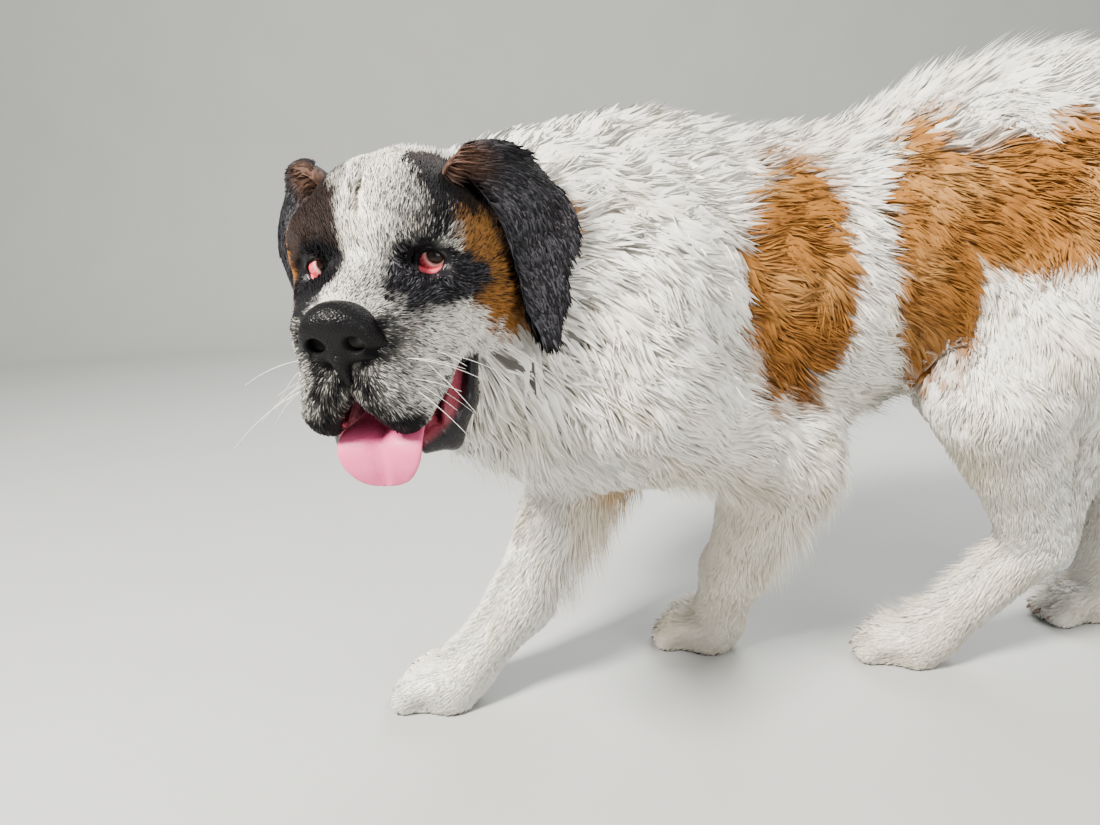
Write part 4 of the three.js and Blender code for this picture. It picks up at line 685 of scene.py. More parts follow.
# A material: node() makes any node from its type, settings and socket values, and gives an output
class Finish:
    def __init__(self, name, **constants):
        self.material = bpy.data.materials.new(name)
        self.material.use_nodes = True
        self.tree = self.material.node_tree
        self.shader = self.tree.nodes["Principled BSDF"]
        for key, value in constants.items():
            self.shader.inputs[key.replace("_", " ")].default_value = value

    def node(self, kind, settings=None, inputs=None, output=0):
        made = self.tree.nodes.new(kind)
        for key, value in (settings or {}).items():
            setattr(made, key, value)
        for key, value in (inputs or {}).items():
            if isinstance(value, Tone):
                self.tree.links.new(value.socket, made.inputs[key])
            else:
                made.inputs[key].default_value = value
        return Tone(self, made.outputs[output])

    def feed(self, socket, value):
        self.tree.links.new(value.socket, self.shader.inputs[socket])

    def attribute(self, name, output="Fac"):
        return self.node("ShaderNodeAttribute", {"attribute_name": name}, output=output)

    def place(self):
        return self.node("ShaderNodeTexCoord", output="Object")

    def noise(self, scale, detail=4.0, vector=None, rough=0.55):
        inputs = {"Vector": vector or self.place(), "Scale": scale, "Detail": detail, "Roughness": rough}
        return self.node("ShaderNodeTexNoise", {}, inputs, "Fac")

    # Sockets 6 and 7 of a Mix node take its two colours, and output 2 gives the mixed one
    def blend(self, factor, a, b, kind="MIX"):
        settings = {"data_type": "RGBA", "blend_type": kind, "clamp_factor": True}
        a, b = (colour if isinstance(colour, Tone) else (*colour, 1) for colour in (a, b))
        return self.node("ShaderNodeMix", settings, {0: factor, 6: a, 7: b}, 2)

    def shaded(self, colour, shade):
        grey = self.node("ShaderNodeCombineColor", {}, {0: shade, 1: shade, 2: shade})
        return self.blend(1.0, colour, grey, "MULTIPLY")

    def bump(self, height, strength, distance):
        inputs = {"Height": height, "Strength": strength, "Distance": distance}
        self.feed("Normal", self.node("ShaderNodeBump", {}, inputs, "Normal"))


# Colours of the animal, linear
paint = {
    "white": (0.90, 0.87, 0.80),
    "cream": (0.78, 0.66, 0.47),
    "rust": (0.30, 0.122, 0.024),
    "paleRust": (0.45, 0.235, 0.075),
    "deepRust": (0.16, 0.058, 0.013),
    "brown": (0.034, 0.019, 0.0135),
    "black": (0.0068, 0.0064, 0.0078),
    "grey": (0.105, 0.102, 0.118),
    "maroon": (0.24, 0.04, 0.06),
}


# The named colour laid over the base where the mask says
def tint(base, mask, name):
    return base + (vec(*paint[name]) - base) * np.clip(mask, 0, 1)[:, None]


# Share of a blotch at each point: one inside an ellipse turned by angle, with a frayed edge. Its plane names
# the two coordinates that it is drawn in.
def blotch(spots, fray, plane, centre, radii, angle, edge=0.12):
    u, v = spots[plane[0]] - centre[0], spots[plane[1]] - centre[1]
    c, s = np.cos(np.radians(angle)), np.sin(np.radians(angle))
    x = (u * c + v * s) / radii[0]
    y = (-u * s + v * c) / radii[1]
    return 1 - ramp(np.sqrt(x * x + y * y) + fray, 1 - edge, 1 + edge)


# Where a share of the hairs is dark, chance picks them one by one. At a sharpness of one and a chance of a
# half it gives the share itself, for the skin below.
def ticks(share, chance, sharp):
    return np.clip((share - chance) * sharp + 0.5, 0, 1)


# Half of the share tints all hairs alike and half of it picks them
def pepper(share, chance, sharp):
    return (np.clip(share, 0, 1) + ticks(share, chance, sharp)) / 2


# Blotches of the body: plane, centre, radii, angle and softness of the edge, in the dog's frame
bodyBlotches = {
    "saddleFront": ("yz", (46, 590), (52, 160), 4),
    "saddleBack": ("yz", (205, 652), (176, 84), 12),
    "shoulder": ("yz", (-116, 570), (66, 146), 0),
    "farShoulder": ("yz", (-96, 640), (130, 112), -14),
    "farHip": ("yz", (190, 640), (120, 96), 20),
    "croup": ("xy", (-10, -92), (70, 66), 30),
    "tailRoot": ("yz", (470, 690), (60, 50), -50),
    "feather": ("yz", (-330, 236), (56, 76), 14),
    "cuff": ("yz", (-318, 292), (32, 26), 20, 0.4),
}


# Markings in the dog's frame, and in the head frame about the head, with painted shade low on the rust
# patches. chance is from 0 to 1 for each point.
def markingsAndShade(p, chance, sharp=3):
    fray = 0.10 * wave(p, 60, 3) + 0.07 * wave(p, 22, 4) + 0.05 * (chance - 0.5)
    x, y, z = p.T
    spots = {"x": x, "y": y, "z": z}
    on = {name: blotch(spots, fray, *shape) for name, shape in bodyBlotches.items()}
    colour = np.tile(vec(*paint["white"]), (len(p), 1))
    warm = ramp(wave(p, 130, 5), 0.1, 1.2) * 0.35
    colour = tint(colour, warm + 0.22 * ramp(wave(p, 44, 6), 0.3, 1.3), "cream")
    belly = ramp(-z, -420, -300) * ramp(y, -330, -280) * (1 - ramp(y, 120, 200)) * 0.35
    colour = tint(colour, belly, "cream")
    saddle = np.maximum(on["saddleFront"], on["saddleBack"])
    patches = ramp(x, 52, 84) * np.maximum(on["shoulder"], saddle)
    patches = np.maximum(patches, (1 - ramp(x, -70, -30)) * np.maximum(on["farShoulder"], on["farHip"]))
    patches = np.maximum(patches, on["croup"] * ramp(z, 640, 700) * (1 - ramp(x, -20, 10)))
    patches = np.maximum(patches, on["tailRoot"] * 0.9)
    colour = tint(colour, patches, "rust")
    colour = tint(colour, patches * ramp(wave(p, 90, 8) + 0.8 * (chance - 0.5), 0, 1.2) * 0.7, "paleRust")
    colour = tint(colour, patches * ramp(wave(p, 50, 9) + 0.8 * (chance - 0.5), 0.2, 1.2) * 0.6, "deepRust")
    # Painted shade: the rust patches darken towards the bottom of the body
    colour = tint(colour, patches * ramp(-z, -560, -440) * 0.35, "deepRust")
    isFar = 1 - ramp(x, 70, 100)
    colour = tint(colour, on["feather"] * isFar * 0.6, "cream")
    colour = tint(colour, on["cuff"] * isFar * (0.3 + 0.6 * chance), "paleRust")
    colour = tint(colour, ramp(-z, -5, -2), "brown")
    q = toHead(p)
    isHead = ((q**2).sum(1) < 230**2) & (q[:, 0] > -175)
    colour[isHead] = headMarkings(colour[isHead], q[isHead], p[isHead], chance[isHead], sharp)
    return colour


# Blotches of the head, in the head frame: a ahead, l to its left and u up
headBlotches = {
    "crown": ("al", (-62, 62), (62, 36), 0),
    "cheek": ("au", (-46, 4), (52, 84), -8),
    "eyePatch": ("lu", (60, -9), (41, 24), -31),
    "eyeEdge": ("lu", (60, -9), (50, 31), -31, 0.3),
    "farFace": ("lu", (-52, 22), (40, 66), -14, 0.2),
    "farEyePatch": ("lu", (-44, -4), (33, 28), 30),
    "farCheek": ("au", (-26, -8), (32, 52), 0),
    "neckSide": ("lu", (128, 4), (30, 38), 0),
    "throat": ("lu", (104, -80), (26, 18), 0),
}
browBlotch = ("lu", (54, 48), (28, 46), 14, 0.28)  # its edge frays less than those above
blazeFlecks = (((40, 4, 46), 5), ((33, 20, 52), 4.5), ((43, 5, 23), 4.5))  # place and size


# Each marking is laid over those before it, from the rust of the cheek to the black rim of the lips
def headMarkings(colour, q, p, chance, sharp):
    a, l, u = q.T
    fray = 0.09 * wave(p, 24, 13) + 0.06 * wave(p, 9, 14) + 0.12 * (chance - 0.5)
    spots = {"a": a, "l": l, "u": u}
    on = {name: blotch(spots, fray, *shape) for name, shape in headBlotches.items()}
    isLeft, isRight = l > 0, l < 0
    crown = on["crown"] * ramp(u, 20, 50)
    rust = on["cheek"] * ramp(l, 66, 80)
    colour = tint(colour, rust, "rust")
    colour = tint(colour, rust * ramp(u, -70, 30) * 0.35, "paleRust")
    colour = tint(colour, ticks(rust * ramp(-a, 34, 76) * 0.6, chance, sharp), "brown")
    colour = tint(colour, ticks(crown, chance * 0.6, sharp), "brown")
    colour = tint(colour, crown * 0.5, "black")
    brow = blotch(spots, 0.6 * fray, *browBlotch) * ramp(a, -60, -26)
    colour = tint(colour, pepper(brow * (0.5 + 0.5 * ramp(l, 34, 64)), chance, sharp), "black")
    isFront = ramp(a, -78, -52)
    patch = on["eyePatch"] * isLeft * isFront
    colour = tint(colour, patch, "black")
    colour = tint(colour, patch * ramp(chance, 0.6, 1.0) * 0.8, "grey")
    eyeEdge = on["eyeEdge"] * isLeft * (1 - patch) * isFront
    colour = tint(colour, pepper(eyeEdge * 0.6, chance, sharp), "black")
    farFace = on["farFace"] * ramp(-l, 8, 18) * isRight
    colour = tint(colour, farFace * ramp(a, -110, -70), "brown")
    colour = tint(colour, farFace * 0.5, "black")
    colour = tint(colour, on["farEyePatch"] * isRight, "black")
    colour = tint(colour, on["farCheek"] * ramp(-l, 74, 84), "rust")
    for spot, size in blazeFlecks:
        gap = np.linalg.norm((q - vec(*spot)) / vec(1, 1, 1.7), axis=1) + 2.5 * fray
        colour = tint(colour, (1 - ramp(gap, size * 0.7, size * 1.3)) * 0.75, "grey")
    colour = tint(colour, pepper(muzzleSalt(q, p), chance, sharp), "black")
    behind = np.maximum(on["neckSide"] * ramp(-a, 84, 96), on["throat"] * ramp(-a, 50, 62))
    colour = tint(colour, behind * isLeft * 0.9, "rust")
    edge = flewEdge(q)
    colour = tint(colour, pepper(edge, chance, sharp), "black")
    return tint(colour, ramp(edge, 0.85, 1) * 0.6, "black")


# Share of dark hairs about the nose, on the lips and in freckles over the muzzle
def muzzleSalt(q, p):
    a, l, u = q.T
    side = np.abs(l)
    fromNose = np.linalg.norm((q - vec(98, 0, -44)) / vec(1, 1.15, 0.9), axis=1)
    freckles = ramp(wave(p, 13, 17), 0.85, 1.15) * ramp(a, 24, 40) * ramp(-u, 56, 70)
    freckles = freckles * (1 - ramp(-u, 96, 108))
    salt = np.maximum.reduce([
        0.98 * (1 - ramp(fromNose, 32, 76 + 12 * (l > 0))) * ramp(-u, 20, 34),
        0.40 * (1 - ramp(fromNose, 30, 100)),
        0.95 * (1 - ramp(side, 26, 60)) * ramp(-u, 50, 66) * ramp(a, 40, 74),
        (0.74 - 0.36 * ramp(side, 36, 56)) * ramp(-u, 66, 96) * ramp(a, 20, 60),
        0.8 * freckles,
        (0.30 + 0.14 * wave(p, 26, 19)) * ramp(a, 6, 36) * ramp(-u, 34, 64),
    ])
    return salt + 0.08 * wave(p, 16, 18) * (salt > 0.05)


# Height of the lower rim of the hanging lip at places along the head
flewRim = {"ahead": (-24, 45, 71, 88), "up": (-66, -104, -126, -108)}


# Share of that rim at a point: one at the rim and nothing above it
def flewEdge(q):
    m = mirrored(q)
    above = m[:, 2] - np.interp(m[:, 0], flewRim["ahead"], flewRim["up"])
    isLip = ramp(m[:, 0], -34, -10) * (1 - ramp(m[:, 1], 66, 76))
    return (1 - ramp(above, -12, 7)) * isLip


print("fields ready")

# Skin: the flesh field on a grid that is finer about the head and the paws
coarse, pawPitch, fine = 9, 5, 3.4
skinLines = [ruled(-250, coarse, 205, fine, 480), ruled(-700, coarse, -652, fine, -420, coarse, 700),
             ruled(-14, pawPitch, 60, coarse, 450, fine, 740, coarse, 860)]
skinPoints, skinFaces = netOf(level, skinLines)
skinPoints[:, 2] = np.maximum(skinPoints[:, 2], 0.0)
print("skin", len(skinFaces) * 2, "triangles")


# One inside the hollow of the mouth and on its walls, fading over their edge
def insideMouth(q):
    return 1 - ramp(egg(mirrored(q), mouthPlace, mouthRadii + 3), -2.0, 2.5)


# Short hair: the painted colour, mottled by a fine and a broad noise where it is dry
def skinMaterial():
    finish = Finish("shortCoat", Specular_IOR_Level=0.15)
    colour = finish.attribute("coatColour", "Color")
    wet = finish.attribute("wet")
    hair = finish.noise(520, 6, rough=0.7)
    clump = finish.noise(90, 3)
    shade = (hair - 0.5) * 0.3 + (clump - 0.5) * 0.2 + 0.97
    finish.feed("Base Color", finish.blend(1 - wet, colour, finish.shaded(colour, shade)))
    finish.feed("Roughness", 0.78 - wet * 0.5)
    finish.bump(hair * 0.7 + clump * 0.6, 0.35, 0.002)
    return finish.material


# Distance to the middle of the nearer eye's lids
def fromLids(q):
    return np.linalg.norm(mirrored(q) - lidsMiddle, axis=1)


headSpots = toHead(skinPoints)
mouth = insideMouth(headSpots) * ramp(headSpots[:, 0], -70, -50)
rim = 1 - ramp(fromLids(headSpots), 18, 22)
skinColour = markingsAndShade(skinPoints, np.full(len(skinPoints), 0.5), 1)
skinColour = tint(tint(skinColour, mouth, "maroon"), rim, "black")
shortSkin = skinMaterial()
fleshy = ("head", "neck", "torso", "tail", "foreleg", "fore", "thigh", "hindleg", "hind")
fleshNodes = [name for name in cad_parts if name.split("_")[0] in fleshy]
piece("skin", skinPoints, skinFaces, shortSkin, fleshNodes, skinColour,
      {"wet": np.maximum(mouth, rim)})


# Nose leather in the head frame: a broad pad with wings, flat in front, over a narrow strip of the lip, with
# two comma-shaped nostrils and a groove below
nose = {
    "radii": (25, dog["noseHalfWidth"], 26),
    "wings": (("bar", (106, 17, -52), (98, 27, -54), 14, 11, 8),),
    "front": {"place": (121, 0, -36), "facing": (1, 0, -0.42), "fillet": 9},
    "strip": (("bar", (108, 0, -64), (100, 0, -82), 7, 4.5, 7),),
    "nostrils": (("bar", (130, 13, -53), (98, 19, -46), 6.4, 8, 4),
                 ("bar", (122, 18, -56), (98, 38, -61), 4.2, 5.4, 3)),
    "groove": (("bar", (124, 0, -50), (106, 0, -98), 2.2, 2.6, 2),),
}


# Distance to the nose leather: the pad and its wings, the front cut flat, the strip, and then the hollows
def noseField(q):
    m = mirrored(q)
    d = melded(egg(m, nosePlace, nose["radii"]), m, nose["wings"])
    ahead = (q - vec(*nose["front"]["place"])) @ unit(vec(*nose["front"]["facing"]))
    d = melded(hollow(d, -ahead, nose["front"]["fillet"]), m, nose["strip"])
    return hollowed(d, m, (*nose["nostrils"], *nose["groove"]))


# Pebbled leather, dull inside the nostrils
def noseMaterial():
    finish = Finish("noseLeather", Specular_IOR_Level=0.12)
    pebble = finish.node("ShaderNodeTexVoronoi", {"feature": "DISTANCE_TO_EDGE"},
                         {"Vector": finish.place(), "Scale": 380.0})
    tone = finish.noise(60, 4)
    finish.feed("Base Color", finish.blend(tone, (0.0015, 0.0015, 0.002), (0.005, 0.0045, 0.005)))
    finish.feed("Roughness", 0.26 + tone * 0.2 + finish.attribute("hollow") * 0.7)
    finish.bump(pebble, 0.5, 0.0018)
    return finish.material


nosePoints, noseFaces = netOf(noseField, [ruled(66, 1.6, 146), ruled(-48, 1.6, 48), ruled(-110, 1.6, -6)])
nostril = np.min([massAt(mirrored(nosePoints), *mass)[0] for mass in nose["nostrils"]], 0)
isHollow = (1 - ramp(nostril, 0.2, 2)) * (1 - ramp(nosePoints[:, 0], 114, 120))
piece("noseLeather", fromHead(nosePoints), noseFaces, noseMaterial(), ("nose",), None,
      {"hollow": isHollow})

# Lower jaw, in its own frame swung down from its hinge: a side, the chin and the floor of the mouth
jawSide = ((14, 42, -36), (112, 24, -48), 21, 17)
jawMasses = (
    ("bar", (112, 24, -48), (138, 0, -48), 17, 17, 12),
    ("egg", (72, 0, -58), (66, 34, 20), 20),
)

# The slack lower lip, turned out below the corner of the mouth, and last the thin flesh of the cheek that
# closes the corner between the lips. Each is thinned sideways, as its last but one value says.
lipBars = (
    ("bar", (-34, 71, -80), (-4, 69, -132), 8, 12, ((0, 1, 0), 1.8), 8),
    ("bar", (-4, 69, -132), (12, 53, -160), 12, 16, ((0, 1, 0), 1.8), 8),
    ("bar", (12, 53, -160), (46, 38, -158), 16, 10, ((0, 1, 0), 1.6), 8),
)
cheekLining = ("bar", (-40, 60, -92), (14, 53, -140), 18, 18, ((0, 1, 0), 3.0), 8)


# Into the jaw's frame, on its left side: turned back about the hinge by the drop
def toJaw(q):
    turn = np.radians(dog["jawDrop"])
    r = q - vec(*dog["jawHinge"])
    return np.stack([r[:, 0] * np.cos(turn) - r[:, 2] * np.sin(turn), np.abs(r[:, 1]),
                     r[:, 0] * np.sin(turn) + r[:, 2] * np.cos(turn)], 1)


# Distance to the lower jaw. The lips and the lining of the cheeks hang in the head frame.
def jawField(q):
    m = toJaw(q)
    return melded(melded(bar(m, *jawSide), m, jawMasses), mirrored(q), (*lipBars, cheekLining))


# Lip skin, glossier where it is wet
def jawMaterial():
    finish = Finish("lipSkin", Coat_Roughness=0.25, Specular_IOR_Level=0.14)
    colour = finish.attribute("coatColour", "Color")
    wet = finish.attribute("wet")
    grain = finish.noise(260, 5)
    finish.feed("Base Color", finish.shaded(colour, grain * 0.7 + 0.6))
    finish.feed("Roughness", 0.8 - wet * 0.45)
    finish.feed("Coat Weight", wet * 0.25)
    finish.bump(grain, 0.8, 0.004)
    return finish.material


jawLocal, jawFaces = netOf(jawField, [ruled(-84, 3, 96), ruled(-102, 3, 102), ruled(-216, 3, -40)])
isMouth = 1 - ramp(egg(mirrored(jawLocal), (30, 0, -116), (98, 67, 50)), -3, 4)
isChin = ramp(-jawLocal[:, 2], 176, 196)
jawColour = tint(np.tile(vec(*paint["black"]), (len(jawLocal), 1)), isMouth, "maroon")
jawColour = tint(jawColour, isChin * 0.8, "brown")
piece("lowerJaw", fromHead(jawLocal), jawFaces, jawMaterial(), ("lower_jaw",), jawColour,
      {"wet": 1 - isChin})

# Tongue: sections along a line that folds over the jaw's edge, each with its place, half width and half
# thickness, grooved along its middle
tongue = {
    "rows": ((-22, 2, -116, 20, 10), (12, 4, -130, 26, 9), (42, 6, -140, 32, 8), (64, 8, -142, 37, 7),
             (77, 8, -149, 39, 6.5), (80, 8, -166, 39, 6), (77, 8, -185, 38, 4)),
    "around": 56,
    "steps": 12,
    "roundFrom": 0.64,
    "groove": {"depth": 0.8, "width": 0.13},
    "curl": 0.10,
}


# Faces of a closed tube of sections: two triangles for each cell, and a fan to a hub at either end
def tubeFaces(rings, around):
    r = np.arange(rings - 1)[:, None] * around
    n = np.arange(around)
    nextN = (n + 1) % around
    side = np.stack([r + n, r + n + around, r + nextN + around, r + nextN], -1).reshape(-1, 4)
    tris = np.concatenate([side[:, [0, 1, 2]], side[:, [0, 2, 3]]])
    first, last = rings * around, rings * around + 1
    top = (rings - 1) * around
    caps = np.concatenate([np.stack([n, nextN, np.full(around, first)], 1),
                           np.stack([nextN + top, n + top, np.full(around, last)], 1)])
    return np.concatenate([tris, caps])


# The rings' points in turn, and then the hub of each end
def withHubs(rings):
    return np.concatenate([rings.reshape(-1, 3), rings[0].mean(0)[None], rings[-1].mean(0)[None]])


# Each section is a flattened oval: the cosine spreads it, the sine lifts it, less so in the groove, and the
# squared cosine curls its edges up. Towards the tip it narrows as a rounded end.
def tonguePoints():
    rows = smoothRows(tongue["rows"], tongue["steps"])
    centre, halfWidth, halfThick = rows[:, :3], rows[:, 3], rows[:, 4]
    along = unit(np.gradient(centre, axis=0))
    across = vec(0, 1, 0)
    up = unit(np.cross(along, across))
    angle = -np.arange(tongue["around"]) / tongue["around"] * 2 * np.pi
    c, s = np.cos(angle), np.sin(angle)
    sunk = tongue["groove"]["depth"] * np.exp(-((c / tongue["groove"]["width"]) ** 2))
    groove = np.where(s > 0, 1 - sunk, 1)
    t = np.linspace(0, 1, len(rows))
    end = np.sqrt(np.clip(1 - ramp(t, tongue["roundFrom"], 1.004) ** 2.2, 0, 1))
    wide = (halfWidth * end)[:, None] * np.sign(c) * np.abs(c) ** 0.8
    curl = tongue["curl"] * c**2 * halfWidth[:, None] * end[:, None]
    high = halfThick[:, None] * s * groove * (0.5 + 0.5 * end)[:, None] + curl
    return withHubs(centre[:, None] + wide[..., None] * across + high[..., None] * up[:, None]), len(rows)


# Broad noise mottles the tongue and fine noise raises its buds
def tongueMaterial():
    finish = Finish("tongueFlesh", Specular_IOR_Level=0.3, Coat_Weight=0.1, Coat_Roughness=0.3,
                    Subsurface_Weight=0.15, Subsurface_Scale=0.004)
    buds = finish.noise(900, 2)
    tone = finish.noise(45, 3)
    finish.feed("Base Color", finish.blend(tone, (0.56, 0.062, 0.165), (0.75, 0.145, 0.29)))
    finish.feed("Roughness", 0.42 + buds * 0.25)
    finish.bump(buds, 0.4, 0.0012)
    return finish.material


tongueLocal, tongueRings = tonguePoints()
piece("tongueFlesh", fromHead(tongueLocal), tubeFaces(tongueRings, tongue["around"]),
      tongueMaterial(), ("tongue",))
print("mouth and nose done")

# Eyes: a ball with a raised cornea. Its rings lie at polar angles from the line of sight.
eye = {
    "gaze": (0.80, 0.50, 0.26),
    "radius": 14.2,
    "cornea": {"height": 1.1, "angle": 30},
    "irisAngle": 34,
    "pupilAngle": 14,
    "limbus": {"width": 3.5, "darkness": 0.85},
    "paleRing": {"share": 0.75, "angles": (40, 54)},
    "around": 64,
    "rings": 40,
}

# Colours of the ball, each with what its veins or streaks add
eyePaint = {
    "outer": ((0.60, 0.03, 0.05), (0.14, 0.10, 0.11)),
    "iris": ((0.008, 0.0035, 0.002), (0.014, 0.006, 0.0025)),
    "pale": (0.74, 0.42, 0.38),
    "pupil": 0.003,
}


# The radius swells by a bell curve about the line of sight. Each point also has its angle from that line
# and its turn about it.
def eyeballPoints():
    polar = np.linspace(0, np.pi, eye["rings"] + 1)[1:-1]
    around = np.arange(eye["around"]) / eye["around"] * 2 * np.pi
    height, angle = eye["cornea"]["height"], np.radians(eye["cornea"]["angle"])
    raised = eye["radius"] + height * np.exp(-((polar / angle) ** 2))
    ring = np.stack([np.cos(polar)[:, None] + 0 * around, np.sin(polar)[:, None] * np.cos(around),
                     np.sin(polar)[:, None] * np.sin(around)], -1) * raised[:, None, None]
    ends = np.array([[eye["radius"] + height, 0, 0], [-eye["radius"], 0, 0]])
    angles = np.concatenate([np.repeat(np.degrees(polar), eye["around"]), [0, 180]])
    turns = np.concatenate([np.tile(around, len(polar)), [0, 0]])
    return np.concatenate([ring.reshape(-1, 3), ends]), angles, turns


# Bloodshot white, a pale ring about the iris, the streaked iris with its dark rim, and the pupil
def eyeColour(angle, turn):
    veins = 0.5 + 0.5 * np.sin(turn * 31 + 0.09 * angle) * np.sin(turn * 13)
    streaks = 0.5 + 0.5 * np.sin(turn * 23) * np.sin(turn * 7 + 1)
    outer, iris = (vec(*eyePaint[name][0]) + marks[:, None] * vec(*eyePaint[name][1])
                   for name, marks in (("outer", veins), ("iris", streaks)))
    isPale = (eye["paleRing"]["share"] * (1 - ramp(angle, *eye["paleRing"]["angles"])))[:, None]
    isIris, isPupil = ((1 - ramp(angle, eye[key] - soft, eye[key] + soft))[:, None]
                       for key, soft in (("irisAngle", 2), ("pupilAngle", 1)))
    limbus = np.exp(-(((angle - eye["irisAngle"]) / eye["limbus"]["width"]) ** 2))[:, None]
    colour = outer + (vec(*eyePaint["pale"]) - outer) * isPale
    colour = colour + (iris - colour) * isIris
    colour = colour * (1 - eye["limbus"]["darkness"] * limbus)
    return colour * (1 - isPupil) + eyePaint["pupil"] * isPupil


glassy = Finish("eyeball", Roughness=0.08, Coat_Weight=0.1, Coat_Roughness=0.03, Specular_IOR_Level=0.14)
glassy.feed("Base Color", glassy.attribute("coatColour", "Color"))
ball, ballAngle, ballTurn = eyeballPoints()
ballFaces, ballColour = tubeFaces(eye["rings"] - 1, eye["around"]), eyeColour(ballAngle, ballTurn)
sight = unit(vec(*eye["gaze"]))
sightLeft = unit(np.cross((0, 0, 1), sight))
gazing = ball @ np.array([sight, sightLeft, np.cross(sight, sightLeft)])
sides = (("left", 1), ("right", -1))
for side, way in sides:
    piece("eyeball_" + side, fromHead(gazing + eyePlace * (1, way, 1)), ballFaces, glassy.material,
          ("eye_" + side,), ballColour)


# Bare lid rims and, inside the slack lower lid, the red haw: tubes along the lids' lines
lidRim = {"ahead": 1.0, "radii": (2.6, 3.2, 3.2, 2.6)}
haw = {
    "line": ((8, -13, -5), (10, -8, -10), (9.5, 5, -11.5), (5, 13, -6)),
    "radii": (2.0, 3.6, 3.2, 1.6),
}


# A tube with a round section along a smooth line
def roundTube(line, radii, around=10):
    line = smoothRows(line, 6)
    radii = np.interp(np.linspace(0, 1, len(line)), np.linspace(0, 1, len(radii)), radii)
    along = unit(np.gradient(line, axis=0))
    side = unit(np.cross(along, unit(vec(0.4, 0.1, 1.0))))
    up = np.cross(side, along)
    angle = np.arange(around) / around * 2 * np.pi
    ring = side[:, None] * np.cos(angle)[:, None] + up[:, None] * np.sin(angle)[:, None]
    points = line[:, None] + ring * radii[:, None, None]
    return np.concatenate([points.reshape(-1, 3), line[:1], line[-1:]]), tubeFaces(len(line), around)


# Several tubes in one mesh
def tubesTogether(tubes):
    used = 0
    points, faces = [], []
    for tubePoints, tubeTriangles in tubes:
        points.append(tubePoints)
        faces.append(tubeTriangles + used)
        used += len(tubePoints)
    return np.concatenate(points), np.concatenate(faces)


# Skin or horn mottled between two colours
def wetMaterial(name, dark, light, scale):
    finish = Finish(name, Roughness=0.35, Coat_Weight=0.15, Coat_Roughness=0.1, Specular_IOR_Level=0.25)
    tone = finish.noise(scale, 4)
    finish.feed("Base Color", finish.blend(tone, dark, light))
    finish.bump(tone, 0.3, 0.001)
    return finish.material


rimSkin = wetMaterial("lidRim", (0.003, 0.003, 0.003), (0.014, 0.010, 0.010), 200.0)
hawRed = wetMaterial("haw", (0.55, 0.02, 0.05), (0.80, 0.16, 0.20), 160.0)
for side, way in sides:
    flip = vec(1, way, 1)
    lines = [(np.array(lids[name]) + vec(lidRim["ahead"], 0, 0)) * flip for name in ("upper", "lower")]
    points, faces = tubesTogether([roundTube(line, lidRim["radii"]) for line in lines])
    piece("lidRim_" + side, fromHead(points), faces, rimSkin)
    points, faces = roundTube((np.array(haw["line"]) + eyePlace) * flip, haw["radii"], 16)
    piece("haw_" + side, fromHead(points), faces, hawRed)
print("eyes done")

# Ears: a leaf hung from a fold above the cheek. Each row is a section's front edge, its back edge, its
# thickness and whether it hangs free of the head, from which it then keeps clear.
ear = {
    "rows": ((-44, 50, 66, -104, 70, 50, 15, 0), (-42, 62, 82, -104, 92, 74, 15, 0),
             (-46, 74, 82, -106, 112, 82, 13, 0), (-52, 80, 56, -114, 128, 70, 10, 1),
             (-56, 93, 12, -128, 158, 22, 10, 1), (-60, 101, -32, -122, 146, -28, 9, 1),
             (-66, 107, -64, -112, 130, -64, 8, 1), (-76, 112, -84, -98, 120, -86, 5, 1),
             (-84, 115, -95, -90, 117, -96, 3, 1)),
    "around": 40,
    "steps": 7,
    "clearance": 8,
    "cup": 8,
}


# Across each section the leaf bulges outward by the sine and cups inward by the squared cosine
def earPoints(way):
    rows = smoothRows(ear["rows"], ear["steps"])
    front, back, thick, free = rows[:, :3], rows[:, 3:6], rows[:, 6], rows[:, 7]
    centre, reach = (front + back) / 2, (front - back) / 2
    along = np.gradient(centre, axis=0)
    out = unit(np.cross(reach, along))
    angle = np.arange(ear["around"]) / ear["around"] * 2 * np.pi
    c, s = np.cos(angle), np.sin(angle)
    bulge = np.where(s > 0, 1, 0.5)
    lift = s * bulge * thick[:, None] * 0.55 - ear["cup"] * c**2
    p = centre[:, None] + reach[:, None] * c[:, None] + out[:, None] * lift[..., None]
    p = fromHead(p * vec(1, way, 1)).reshape(-1, 3)
    free = np.repeat(free, ear["around"])
    depth, g = slope(lambda spots: level(spots, 1.0), p)
    push = np.maximum(ear["clearance"] - depth, 0) * np.clip(free, 0, 1)
    p = p + unit(g) * push[:, None]
    return withHubs(p.reshape(len(rows), ear["around"], 3)), len(rows)


# Black with brown hairs, greyed over a random share as a painted sheen, and rusty at the fold
def earMarkingsAndSheen(p, side, chance):
    a, _, u = toHead(p).T
    colour = np.tile(vec(*paint["black"]), (len(p), 1))
    colour = tint(colour, ramp(wave(p, 40, 21) + 0.4 * (chance - 0.5), 0.1, 1.0) * 0.1, "brown")
    # Painted sheen: grey over part of the black stands in for the light that the black hair catches
    colour = tint(colour, ramp(chance, 0.3, 1.0) * 0.5, "grey")
    root = ramp(u, 40, 70) * ramp(a, -68, -50)
    colour = tint(colour, root * 0.5 * (0.2 + 0.8 * chance), "deepRust")
    if side < 0:
        colour = tint(colour, ramp(a, -66, -56) * ramp(-u, -30, 10) * 0.5, "deepRust")
    return colour


ears = {}
for side, way in sides:
    points, rings = earPoints(way)
    faces = tubeFaces(rings, ear["around"])
    if way < 0:
        faces = faces[:, ::-1]
    chance = np.random.default_rng(40 + way).uniform(size=len(points))
    colour = earMarkingsAndSheen(points, way, chance)
    piece("earLeather_" + side, points, faces, shortSkin, ("ear_" + side,), colour,
          {"wet": np.zeros(len(points))})
    ears[side] = (points, faces, way)
print("ears done")

